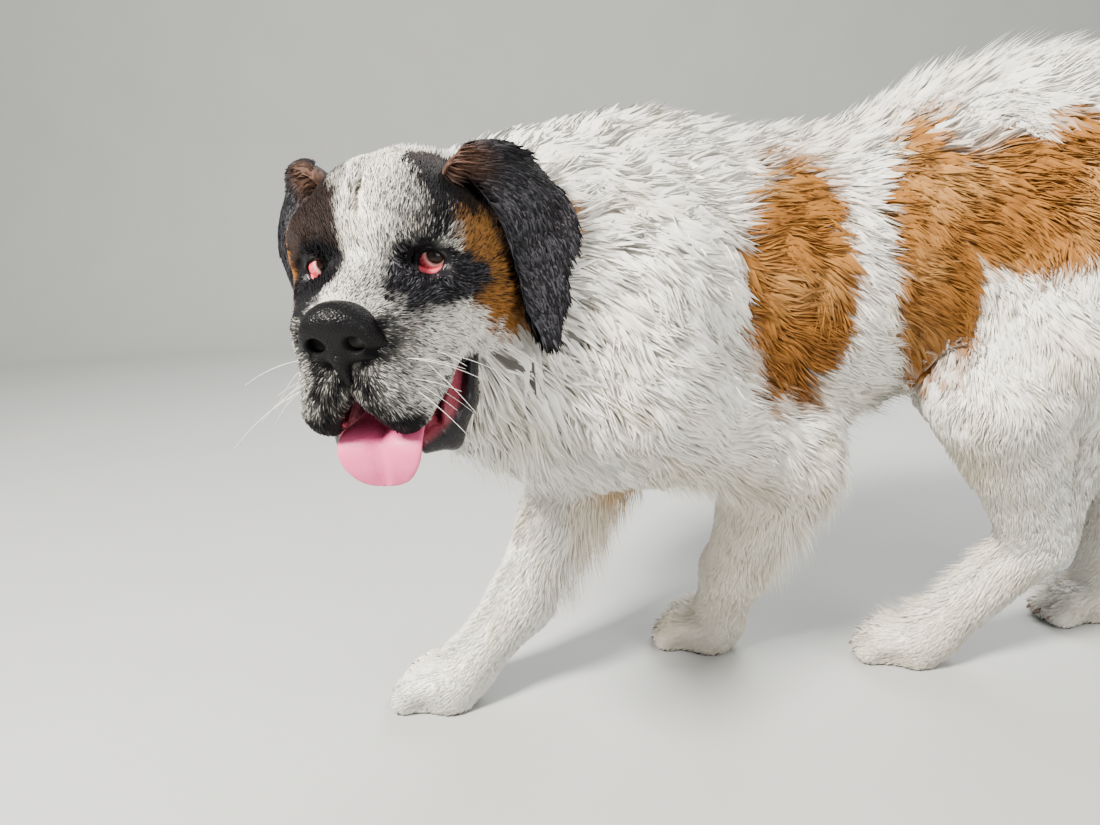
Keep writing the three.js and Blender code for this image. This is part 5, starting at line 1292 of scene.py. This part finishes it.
# Tufts: kites of four triangles over the body, wide below and fine above, and closed three-sided blades of
# three rings and a tip for the hanging feathers. Lengths are in millimetres, and depth is that of the coat.
# Sway is the strength, the size and the seed of each wave that turns the tufts.
coat = {
    "coverage": 5.0,
    "faceShare": 0.42,
    "shortShare": 0.18,
    "lengthAtSkin": 2.5,
    "lengthPerDepth": 1.6,
    "lengthSpread": (0.75, 1.2),
    "rise": (0.45, 1.0),
    "sway": ((0.42, 95, 31), (0.26, 34, 32)),
    "rootWidth": 0.6,
    "widthPerDepth": 0.022,
    "leastBend": 0.3,
    "bow": 0.14,
    "tipLean": 0.6,
    "flatness": 0.3,
    "softness": 0.82,
    "clump": 0.34,
    "clumpReach": 16,
    "underShare": 0.30,
    "underWidth": 3.0,
    "underLength": 0.85,
    "underRise": (0.25, 0.60),
    "budget": 1212000,
    "shortDepth": 11,
    "longDepths": (8, 24),
    "featherFrom": 12,
    "featherShare": 0.32,
    "featherSpread": (0.5, 1.1),
    "tone": (0.91, 1.05),
    "rings": (1.0, 0.9, 0.55),
    "patch": 0.003,
    "lowest": 0.3,
}
kiteFaces = np.array([(0, 2, 1), (1, 2, 3), (0, 1, 3), (0, 3, 2)])


# A triangle at the root, two for each side between the rings, and three up to the tip
def bladeFaces():
    rings = len(coat["rings"])
    faces = [(0, 1, 2)]
    for s in range(rings - 1):
        for k in range(3):
            a, b = s * 3 + k, s * 3 + (k + 1) % 3
            faces += [(a, a + 3, b), (b, a + 3, b + 3)]
    top = (rings - 1) * 3
    return np.array(faces + [(top + k, rings * 3, top + (k + 1) % 3) for k in range(3)])


# A kite is its root, a corner to either side of its raised middle, and its tip. Its normals are near those
# of the skin, so that the tufts take the light together.
def kites(root, middle, tip, outs, widths):
    along = unit(tip - root)
    across = unit(np.cross(along, outs))
    up = np.cross(across, along)
    height = ((middle - (root + tip) / 2) * up).sum(1)
    middle = middle + up * np.maximum(coat["leastBend"] * widths - height, 0)[:, None]
    half = across * (widths / 2)[:, None]
    bow = across * (coat["bow"] / np.maximum(widths, 1))[:, None]
    normals = unit(outs[:, None] + np.stack([0 * bow, -bow, bow, along * coat["tipLean"]], 1))
    return np.stack([root, middle - half, middle + half, tip], 1), normals


# A blade runs along the parabola through its root, middle and tip
def blades(root, middle, tip, outs, widths):
    rings = len(coat["rings"])
    t = np.linspace(0, 1, rings + 1)[None, :, None]
    control = middle * 2 - (root + tip) / 2
    path = (1 - t) ** 2 * root[:, None] + 2 * t * (1 - t) * control[:, None] + t**2 * tip[:, None]
    along = unit(np.gradient(path, axis=1))
    across = unit(np.cross(along, outs[:, None]))
    up = np.cross(across, along)
    size = np.array(coat["rings"])[None, :, None] * widths[:, None, None] / 2
    w = across[:, :rings] * size
    h = up[:, :rings] * size * coat["flatness"]
    offsets = np.stack([w - h, h * 1.6, -w - h], 2)
    points = np.concatenate([(path[:, :rings, None] + offsets).reshape(len(path), -1, 3), path[:, -1:]], 1)
    own = np.concatenate([unit(offsets).reshape(len(path), -1, 3), along[:, -1:]], 1)
    return points, unit(own * (1 - coat["softness"]) + outs[:, None] * coat["softness"])


# Each shape of tuft: what builds it, its faces, and how far along and across it each of its points is
bladeAlong = np.append(np.repeat(np.arange(3), 3), 3) / 3
shapes = (
    (kites, kiteFaces, vec(0, 0.5, 0.5, 1), vec(0.5, 0, 1, 0.5)),
    (blades, bladeFaces(), bladeAlong, np.append(np.tile([0.0, 0.5, 1.0], 3), 0.5)),
)


# Where each tuft's patch lies on the unwrap: along a limb's line and round it
def unwrapped(p, line):
    a, b = (vec(*end) for end in line)
    way = unit(b - a)
    t = (p - a) @ way / np.linalg.norm(b - a)
    across = unit(np.cross(way, (0.3, 1, 0.2)))
    up = np.cross(way, across)
    off = p - a
    angle = np.arctan2(off @ up, off @ across) / (2 * np.pi) + 0.5
    return t, angle


# Each tuft has its own colour, with streaks along its strand that differ from tuft to tuft
def furMaterial():
    finish = Finish("longCoat", Roughness=0.7, Specular_IOR_Level=0.12)
    colour = finish.attribute("coatColour", "Color")
    strand = finish.attribute("strand", "Vector")
    scale = {0: strand, 1: (0.9, 1.2, 31.0)}
    streak = finish.noise(1.0, 3, finish.node("ShaderNodeVectorMath", {"operation": "MULTIPLY"}, scale))
    finish.feed("Base Color", finish.shaded(colour, streak * 0.6 + 0.64))
    return finish.material


fur = furMaterial()


# Area and direction of each triangle
def faceSizes(points, faces):
    corner = [points[faces[:, n]] for n in range(3)]
    cross = np.cross(corner[1] - corner[0], corner[2] - corner[0])
    return np.linalg.norm(cross, axis=1) / 2, unit(cross)


# Random roots on a surface, the wanted number on each triangle
def scattered(points, faces, want, draw):
    chosen = draw.choice(len(faces), int(want.sum()), p=want / want.sum())
    u, v = draw.uniform(size=(2, len(chosen)))
    flip = u + v > 1
    u, v = np.where(flip, 1 - u, u), np.where(flip, 1 - v, v)
    a, b, c = (points[faces[chosen, n]] for n in range(3))
    return a + (b - a) * u[:, None] + (c - a) * v[:, None]


# A way along the skin turned about the way out of it
def turnedAbout(way, out, angle):
    side = np.cross(out, way)
    return way * np.cos(angle)[:, None] + side * np.sin(angle)[:, None]


# Which of the centres is nearest to each place
def nearestOf(centres, places):
    tree = KDTree(len(centres))
    for n, centre in enumerate(centres):
        tree.insert(centre, n)
    tree.balance()
    return np.array([tree.find(place)[1] for place in places])


# Long tufts of a clump draw together at their tips
def clumped(tips, middles, spacing, share):
    centres = tips[::spacing]
    pull = centres[nearestOf(centres, tips)] - tips
    far = np.linalg.norm(pull, axis=1, keepdims=True)
    pull *= np.minimum(1, coat["clumpReach"] / (far + 1e-6))
    return tips + pull * share[:, None], middles + pull * share[:, None] * 0.35


# Extra length of the hanging feathers
feathers = {
    "foreleg": {"left": 58, "right": 66},
    "belly": 34,
    "bib": 36,
    "breeches": 40,
    "back": 28,
    "tail": 56,
}


# Feathers hang behind the forelegs, along the belly, on the bib and the breeches, and off the tail, and the
# back has a little of their length
def featherAt(p, out):
    x, y, z = p.T
    outY, outZ = out[:, 1], out[:, 2]
    lengths = []
    for side, length in feathers["foreleg"].items():
        a = foreLimbs[side]["elbow"] + vec(0, 10, 30)
        run = foreLimbs[side]["wrist"] + vec(0, 0, 20) - a
        t = (p - a) @ run / (run @ run)
        gap = np.linalg.norm(p - a - np.clip(t, 0, 1)[:, None] * run, axis=1)
        isBehind = ramp(out @ unit(vec(0, 1, -0.2)), 0.15, 0.75)
        lengths.append(length * (isBehind * ramp(t, -0.15, 0.1) * (1 - ramp(t, 0.75, 1.05)))
                       * (1 - ramp(gap, 60, 84)))
    belly = ramp(-outZ, 0.55, 0.95) * ramp(-z, -430, -400) * ramp(y, -330, -280) * (1 - ramp(y, 140, 190))
    bib = ramp(-outZ, 0.1, 0.7) * ramp(x, 60, 150) * ramp(-y, 380, 430) * ramp(z, 360, 400)
    breeches = ramp(outY, 0.5, 0.9) * ramp(y, 250, 300) * ramp(z, 290, 340) * (1 - ramp(z, 600, 680))
    back = ramp(outZ, 0.3, 0.8) * (0.5 + 0.5 * ramp(y, 0, 120)) * ramp(y, -380, -300)
    fromHeadMiddle = np.linalg.norm(toHead(p), axis=1)
    return np.maximum.reduce([
        np.zeros(len(p)),
        *lengths,
        feathers["belly"] * belly * ramp(z, 300, 330),
        feathers["bib"] * bib * ramp(fromHeadMiddle, 175, 215),
        feathers["breeches"] * breeches,
        feathers["back"] * (back * (1 - ramp(y, 380, 440))),
        feathers["tail"] * ramp(y, 500, 570) * ramp(-outZ - 0.4 * outY, -0.4, 0.5),
    ])


# A way with what points out of the skin taken away
def alongSkin(way, out):
    return unit(way - out * (way * out).sum(1)[:, None])


# One step towards the level of the coat at the given share, no longer than reach
def onShare(p, share, reach):
    here, g = slope(lambda spots: level(spots, share), p, 1.0)
    move = g * (here / np.maximum((g**2).sum(1), 0.3))[:, None]
    far = np.linalg.norm(move, axis=1)
    return p - move * np.minimum(1, reach / (far + 1e-9))[:, None]


# Length and width of a tuft by the depth of the coat at its root
def tuftSize(depth):
    return (coat["lengthAtSkin"] + coat["lengthPerDepth"] * depth,
            coat["rootWidth"] + coat["widthPerDepth"] * depth)


# Each tuft leaves the skin the way the coat lies, swayed in broad and fine waves, and its middle and tip
# come to rest at its own share of the coat's depth. Under tufts lie low and are wide. Some tufts end in a
# feather that hangs from them.
def growCoat(points, out, depth, lie, draw):
    count = len(points)
    flat = alongSkin(lie, out)
    long = ramp(depth, *coat["longDepths"])
    bend = sum(strength * wave(points, size, seed) for strength, size, seed in coat["sway"])
    bend = bend * (0.25 + 0.75 * long) + draw.normal(0, 0.10, count)
    flat = turnedAbout(flat, out, bend)
    isUnder = (draw.uniform(size=count) < coat["underShare"]) & (depth >= coat["shortDepth"])
    length, width = tuftSize(depth)
    length = length * draw.uniform(*coat["lengthSpread"], count) * np.where(isUnder, coat["underLength"], 1)
    rise = np.where(isUnder, draw.uniform(*coat["underRise"], count), draw.uniform(*coat["rise"], count))
    rise = rise + 0.1 * wave(points, 38, 33) * long
    reach = 4 + 0.8 * depth
    middle = points + flat * (length * 0.48)[:, None] + out * (depth * rise * 0.6)[:, None]
    middle = onShare(middle, rise * 0.75, reach)
    onward = turnedAbout(alongSkin(middle - points, out), out, 0.3 * wave(points, 34, 34) * long)
    tip = onShare(middle + onward * (length * 0.52)[:, None], rise, reach)
    extra = featherAt(points, out) * draw.uniform(*coat["featherSpread"], count)
    extra *= draw.uniform(size=count) < coat["featherShare"]
    fall = 0.75 * (1 - ramp(out[:, 2], 0, 0.5))[:, None] * vec(0, 0, 1)
    hang = unit(onward * 0.4 + out * 0.6 - fall + 0.12 * draw.normal(size=(count, 3)))
    tip += hang * extra[:, None]
    middle += hang * (extra * 0.3)[:, None]
    isLong = np.flatnonzero(long > 0.15)
    tip[isLong], middle[isLong] = clumped(tip[isLong], middle[isLong], 10, coat["clump"] * long[isLong])
    return middle, tip, extra, width * np.where(isUnder, coat["underWidth"], 1)


# Regions of the coat and the line that the unwrap of each runs along
regions = (
    ("faceCoat_left", ((200, -560, 627), (480, -540, 600))),
    ("faceCoat_right", ((200, -560, 627), (480, -540, 600))),
    ("neckCoat", ((60, -330, 560), (270, -540, 600))),
    ("chestCoat", ((120, -440, 560), (20, -180, 540))),
    ("shoulderCoat", ((10, -230, 540), (0, 0, 550))),
    ("flankCoat", ((0, -40, 550), (20, 170, 600))),
    ("rumpCoat", ((20, 120, 600), (30, 340, 620))),
    ("foreLegCoat_left", ((110, -112, 360), (-50, -190, 0))),
    ("foreLegCoat_right", ((10, -350, 360), (70, -580, 0))),
    ("hindLegCoat_left", ((90, 190, 360), (30, 80, 0))),
    ("hindLegCoat_right", ((-60, 400, 360), (-55, 380, 0))),
    ("tailCoat", ((34, 470, 690), (80, 660, 280))),
    ("haunchCoat", ((20, 260, 600), (30, 480, 620))),
)
collar = {"place": (92, -372, 600), "facing": (0.5, -0.76, 0.42)}
betweenForeLegs = {"place": (60, -250, 200), "facing": (0.2, -1, 0)}


# Ahead of the nape and near the middle of the head
def isFace(q):
    return (q[:, 0] > -98) & ((q**2).sum(1) < 240**2)


# On the side that a plane faces
def isAhead(p, plane):
    return (p - vec(*plane["place"])) @ vec(*plane["facing"]) > 0


# The first test that a root passes gives its region, and what passes none is the chest
def regionOf(p):
    x, y, z = p.T
    q = toHead(p)
    isLow, isFore = z < 345, y < -16
    tests = {
        "faceCoat_left": isFace(q) & (q[:, 1] >= 0),
        "faceCoat_right": isFace(q),
        "tailCoat": (y > 484) & ((x > -8) | (z > 330)),
        "foreLegCoat_right": isLow & isFore & isAhead(p, betweenForeLegs),
        "foreLegCoat_left": isLow & isFore,
        "hindLegCoat_left": isLow & (x > 20),
        "hindLegCoat_right": isLow,
        "neckCoat": (y < -200) & isAhead(p, collar),
        "haunchCoat": y >= 300,
        "rumpCoat": y >= 150,
        "flankCoat": y >= -20,
        "shoulderCoat": y >= -200,
    }
    return np.select(list(tests.values()), list(tests), "chestCoat")


# Between these the coat sets in: gaps from the lids, from the middle of the nose leather and from the floor,
# and the share inside the mouth over which it ends
bare = {"lids": (18, 23), "nose": (24, 32), "floor": (3, 8), "mouth": (0.1, 0.6)}


# Tufts for each square millimetre: the wanted coverage over a tuft's area, with fewer where hair is short
def coatDensity(p):
    depth, _ = coatAndLie(p)
    length, width = tuftSize(depth)
    q = toHead(p)
    keep = 1 - ramp(insideMouth(q), *bare["mouth"])
    keep = keep * ramp(fromLids(q), *bare["lids"]) * ramp(p[:, 2], *bare["floor"])
    noseGap = np.linalg.norm((q - nosePlace) / (1, 1.15, 1), axis=1)
    keep = keep * ramp(noseGap, *bare["nose"])
    mean = np.where(depth < coat["shortDepth"], 1, 1 + coat["underShare"] * (coat["underWidth"] - 1))
    short = 1 - (1 - coat["shortShare"]) * (1 - ramp(depth, 9, 15))
    keep = keep * np.where(isFace(q), np.maximum(short, coat["faceShare"]), short)
    onTail = ramp(p[:, 1], 470, 500)
    keep = keep * (1 + 0.9 * onTail)
    return coat["coverage"] / (0.5 * length * width * mean) * keep


# Tufts over the whole skin; their number is set so that the triangles stay inside the budget
def dressed(draw):
    triangles = np.concatenate([skinFaces[:, [0, 1, 2]], skinFaces[:, [0, 2, 3]]])
    area, _ = faceSizes(skinPoints, triangles)
    centre = skinPoints[triangles].mean(1)
    want = area * coatDensity(centre)
    print("tufts wanted", int(want.sum()))
    want *= min(1, coat["budget"] / len(kiteFaces) / want.sum())
    roots = scattered(skinPoints, triangles, want, draw)
    normals = unit(slope(level, roots, 1.0)[1])
    depth, lie = coatAndLie(roots)
    print("roots", len(roots))
    middle, tip, extra, width = growCoat(roots, normals, depth, lie, draw)
    colour = markingsAndShade(middle, draw.uniform(size=len(roots)))
    return {"roots": roots, "normals": normals, "width": width, "middle": middle, "tip": tip,
            "colour": colour, "isFeather": extra > coat["featherFrom"], "region": regionOf(roots)}


# One mesh of the chosen tufts, with the patch of each on the unwrap at its root's place. No point of a tuft
# lies under the floor.
def addCoatPiece(name, chosen, tufts, line, draw):
    parts = []
    used = 0
    for isFeather, (build, shapeFaces, along, across) in enumerate(shapes):
        these = chosen[tufts["isFeather"][chosen] == isFeather]
        if not len(these):
            continue
        out = tufts["normals"][these]
        ends = [tufts["roots"][these] - out, tufts["middle"][these], tufts["tip"][these]]
        for end in ends:
            end[:, 2] = np.maximum(end[:, 2], 2 * coat["lowest"])
        widths = tufts["width"][these] * draw.uniform(0.7, 1.3, len(these))
        marks = draw.uniform(size=len(these))
        points, normals = build(*ends, out, widths)
        points[..., 2] = np.maximum(points[..., 2], coat["lowest"])
        faces = (np.arange(len(these))[:, None, None] * len(along) + shapeFaces).reshape(-1, 3)
        strand = np.stack([across * widths[:, None], np.broadcast_to(along, points.shape[:2]),
                           np.broadcast_to(marks[:, None], points.shape[:2])], -1)
        # Each tuft takes its own random tone and is darker towards its root: painted shade down among the
        # tufts
        tone = draw.uniform(*coat["tone"], (len(these), 1)) * (0.86 + 0.14 * np.minimum(along * 2.2, 1))
        colours = np.minimum(tufts["colour"][these][:, None] * tone[..., None], 0.96)
        t, angle = unwrapped(tufts["roots"][these], line)
        patch = np.stack([t[:, None] + along * coat["patch"], angle[:, None] + across * coat["patch"]], -1)
        parts.append([points.reshape(-1, 3), faces + used, colours.reshape(-1, 3), strand.reshape(-1, 3),
                      normals.reshape(-1, 3), patch.reshape(-1, 2)])
        used += points.shape[0] * points.shape[1]
    points, faces, colours, strand, normals, patch = (np.concatenate(column) for column in zip(*parts))
    made = piece(name, points, faces, fur, (), colours, {"strand": strand}, normals)
    low, high = patch.min(0), patch.max(0)
    patch = ((patch - low) / (high - low + 1e-9)).astype(np.float32)
    made.data.uv_layers.new(name="OFBake").data.foreach_set("uv", patch[faces.ravel()].ravel())
    print(name, len(faces))
    return len(faces)


draw = np.random.default_rng(dog["seed"])
tufts = dressed(draw)
total = 0
for name, line in regions:
    total += addCoatPiece(name, np.flatnonzero(tufts["region"] == name), tufts, line, draw)


# Fur of the ears: it runs out over the fold and down the leaf, off its outer face and edges
earFur = {"count": 14000, "length": 17, "lift": 5, "width": 1.5, "clump": 0.35}


# Tufts of an ear, each straight along the leaf from its root, its middle and tip lifted off it
def earTufts(points, faces, way, draw):
    area, faceNormals = faceSizes(points, faces)
    outward = vec(0, way, 0.15) @ headAxes
    want = area * ramp(faceNormals @ outward, -0.35, 0.1)
    want *= earFur["count"] / want.sum()
    roots = scattered(points, faces, want, draw)
    out = faceNormals[nearestOf(points[faces].mean(1), roots)]
    over = ramp(toHead(roots)[:, 2], 25, 75)
    lie = unit(np.column_stack([-0.25 - 0.3 * over, 0.9 * over, -1 + 0.75 * over]) * (1, way, 1)) @ headAxes
    sway = 0.3 * wave(roots, 40, 51) + draw.normal(0, 0.12, len(roots))
    flat = turnedAbout(alongSkin(lie, out), out, sway)
    length = earFur["length"] * draw.uniform(0.7, 1.25, len(roots))
    rise = draw.uniform(0.3, 1.0, len(roots)) * earFur["lift"]
    middle = roots + flat * (length * 0.5)[:, None] + out * rise[:, None]
    tip = roots + flat * length[:, None] + out * (rise * 0.9)[:, None] + lie * (length * 0.25)[:, None]
    tip, middle = clumped(tip, middle, 12, np.full(len(roots), earFur["clump"]))
    return {"roots": roots, "normals": out, "width": np.full(len(roots), earFur["width"]),
            "middle": middle, "tip": tip, "isFeather": np.full(len(roots), False),
            "colour": earMarkingsAndSheen(middle, way, draw.uniform(size=len(roots)))}


for side, (points, faces, way) in ears.items():
    made = earTufts(points, faces, way, draw)
    line = (fromHead((-60, 60 * way, 80)), fromHead((-90, 115 * way, -90)))
    total += addCoatPiece("earCoat_" + side, np.arange(len(made["roots"])), made, line, draw)
print("coat", total, "triangles")


# Claws: horn curved down from under the hair of each toe
claw = {"length": 13, "drop": 7, "radii": (4.4, 4.2, 3.2, 1.2), "sunk": 7, "rise": 2, "lowest": 2.5,
        "shares": (0, 0.4, 0.7, 1)}


# A claw runs ahead and falls by the square of the share along it
def clawTubes():
    t = vec(*claw["shares"])[:, None]
    tubes = []
    for limbs, kind in ((foreLimbs, "fore"), (hindLimbs, "hind")):
        for limb in limbs.values():
            ahead, toes = pawToes(limb, paws[kind])
            for toe in toes:
                start = toe[2] + ahead * (paws[kind]["toeRadius"] - claw["sunk"]) + vec(0, 0, claw["rise"])
                line = start + ahead * claw["length"] * t - vec(0, 0, claw["drop"]) * t**2
                line[:, 2] = np.maximum(line[:, 2], claw["lowest"] + 2 * (1 - t[:, 0]))
                tubes.append(roundTube(line, claw["radii"]))
    return tubes


horn = wetMaterial("clawHorn", (0.09, 0.06, 0.045), (0.26, 0.19, 0.14), 120.0)
clawPoints, clawFaces = tubesTogether(clawTubes())
piece("claws", clawPoints, clawFaces, horn)

# Whiskers on the lips, and the horny points along the slack edge of the lower lip
whisker = {"perSide": 9, "length": (46, 80), "radii": (0.3, 0.26, 0.18, 0.1), "sag": (-0.1, 0, -0.28),
           "shares": (0, 0.35, 0.7, 1)}
lipPoint = {"count": 12, "length": (3, 5.5), "radii": (3.2, 2.4, 1.0)}


# A whisker runs straight out of the lip and sags by the square of the share along it
def whiskerTubes(draw):
    t = vec(*whisker["shares"])[:, None]
    tubes = []
    for way in (1, -1):
        for n in range(whisker["perSide"]):
            root = vec(draw.uniform(40, 92), draw.uniform(36, 46), draw.uniform(-96, -62))
            ahead = vec(draw.uniform(-0.4, 0.5), 1, draw.uniform(-0.7, 0.15))
            reach = draw.uniform(*whisker["length"])
            line = root + unit(ahead) * reach * t + vec(*whisker["sag"]) * reach * t**2
            tubes.append(roundTube(fromHead(line * (1, way, 1)), whisker["radii"], 5))
    return tubes


# The points are set onto the lip's skin at spots along its edge and stand straight out of it
def lipTubes(draw):
    line = smoothRows([mass[1] for mass in lipBars] + [lipBars[-1][2]], 5)
    count = lipPoint["count"]
    rank = np.linspace(0.12, 0.8, count) * (len(line) - 1)
    tubes = []
    for way in (1, -1):
        spots = line[rank.astype(int)] + vec(-16, 4, -4) + draw.normal(0, 1.5, (count, 3))
        spots = settle(jawField, spots, 16, 3)
        _, out = slope(jawField, spots)
        for spot, ahead, length in zip(spots, unit(out), draw.uniform(*lipPoint["length"], count)):
            rows = np.array([spot - ahead * 1.5, spot + ahead * length * 0.5, spot + ahead * length])
            tubes.append(roundTube(fromHead(rows * (1, way, 1)), lipPoint["radii"], 7))
    return tubes


whiskerHair = Finish("whiskerHair", Roughness=0.4)
hairTone = whiskerHair.blend(whiskerHair.noise(40), (0.7, 0.68, 0.62), (0.9, 0.88, 0.84))
whiskerHair.feed("Base Color", hairTone)
whiskerPoints, whiskerFaces = tubesTogether(whiskerTubes(draw))
piece("whiskers", whiskerPoints, whiskerFaces, whiskerHair.material)
lipPoints, lipFaces = tubesTogether(lipTubes(draw))
piece("lipPoints", lipPoints, lipFaces, rimSkin)
print("claws and whiskers done")

# Floor and backdrop: one sheet, level under the dog and curved up far behind it
studio = {"width": 9.0, "ahead": 4.0, "behind": 3.4, "curve": 1.2, "height": 3.4, "steps": 40}


# The profile is a level line, a quarter circle up and a straight wall, drawn out to both sides
def backdrop():
    s = np.linspace(0, 1, studio["steps"])
    ground = np.stack([studio["ahead"] - s * (studio["ahead"] + studio["behind"]), 0 * s], 1)
    angle = s[1:, None] * np.pi / 2
    bend = studio["curve"] * np.hstack([-np.sin(angle), 1 - np.cos(angle)]) - (studio["behind"], 0)
    wall = np.array([[-studio["behind"] - studio["curve"], studio["curve"] + studio["height"]]])
    profile = np.concatenate([ground, bend, wall])
    x, z = np.repeat(profile, 2, axis=0).T
    points = np.stack([x, np.tile((-studio["width"], studio["width"]), len(profile)), z], 1)
    r = np.arange(len(profile) - 1)[:, None] * 2
    return points, (r + np.array([0, 1, 3, 2])).reshape(-1, 4)


sheetPoints, sheetFaces = backdrop()
sheet = bpy.data.meshes.new("floor")
sheet.from_pydata(sheetPoints.tolist(), [], sheetFaces.tolist())
pale = Finish("paleFloor", Roughness=0.9)
pale.feed("Base Color", pale.blend(pale.noise(3, 2), (0.40, 0.41, 0.40), (0.44, 0.45, 0.44)))
sheet.materials.append(pale.material)
floor = bpy.data.objects.new("floor", sheet)
bpy.context.scene.collection.objects.link(floor)

# Camera and lamps, placed in metres in the dog's frame. A lamp is its place, size, power and colour.
view = {"place": (1.10, -0.40, 0.67), "pitch": 14.3, "roll": 3.55, "lens": 27.03, "sensor": 36}
daylight = {"colour": (0.86, 0.87, 0.88, 1), "strength": 0.65}
lampTarget = (0.1, -0.1, 0.5)
lamps = (
    ("key", (2.1, -2.3, 3.0), 0.8, 640, (1.0, 0.955, 0.88)),
    ("fill", (2.6, 2.4, 1.6), 2.2, 110, (1.0, 0.98, 0.95)),
    ("rim", (-2.0, 0.8, 2.6), 1.6, 110, (1.0, 1.0, 1.0)),
)


# The sideways, upward and backward ways of a lamp that looks at the target
def aim(place, target):
    back = unit(np.subtract(place, target))
    side = unit(np.cross((0, 0, 1), back))
    return side, np.cross(back, side), back


# A camera or lamp at a place, its own axes turned to the three ways
def placed(thing, place, side, up, back):
    turn = Matrix(np.stack([side, up, back], 1).tolist()).to_4x4()
    turn.translation = tuple(np.asarray(place) + shift / 1000)
    thing.matrix_world = turn
    bpy.context.scene.collection.objects.link(thing)


pitch, roll = np.radians(view["pitch"]), np.radians(view["roll"])
ahead = vec(-np.cos(pitch), 0, -np.sin(pitch))
sideways = vec(0, 1, 0)
upright = np.cross(sideways, ahead)
right = sideways * np.cos(roll) - upright * np.sin(roll)
above = sideways * np.sin(roll) + upright * np.cos(roll)
lensData = bpy.data.cameras.new("camera")
lensData.lens = view["lens"]
lensData.sensor_width = view["sensor"]
lensData.sensor_fit = "HORIZONTAL"
camera = bpy.data.objects.new("camera", lensData)
placed(camera, view["place"], right, above, -ahead)
bpy.context.scene.camera = camera
for name, place, size, watts, tone in lamps:
    lamp = bpy.data.lights.new(name, "AREA")
    lamp.size = size
    lamp.energy = watts
    lamp.color = tone
    placed(bpy.data.objects.new(name, lamp), place, *aim(place, lampTarget))
world = bpy.data.worlds.new("world")
world.use_nodes = True
background = world.node_tree.nodes["Background"]
background.inputs["Color"].default_value = daylight["colour"]
background.inputs["Strength"].default_value = daylight["strength"]
bpy.context.scene.world = world
print("stage done")


# A box as plain lists
def corners(box):
    return [[float(v) for v in corner] for corner in box]
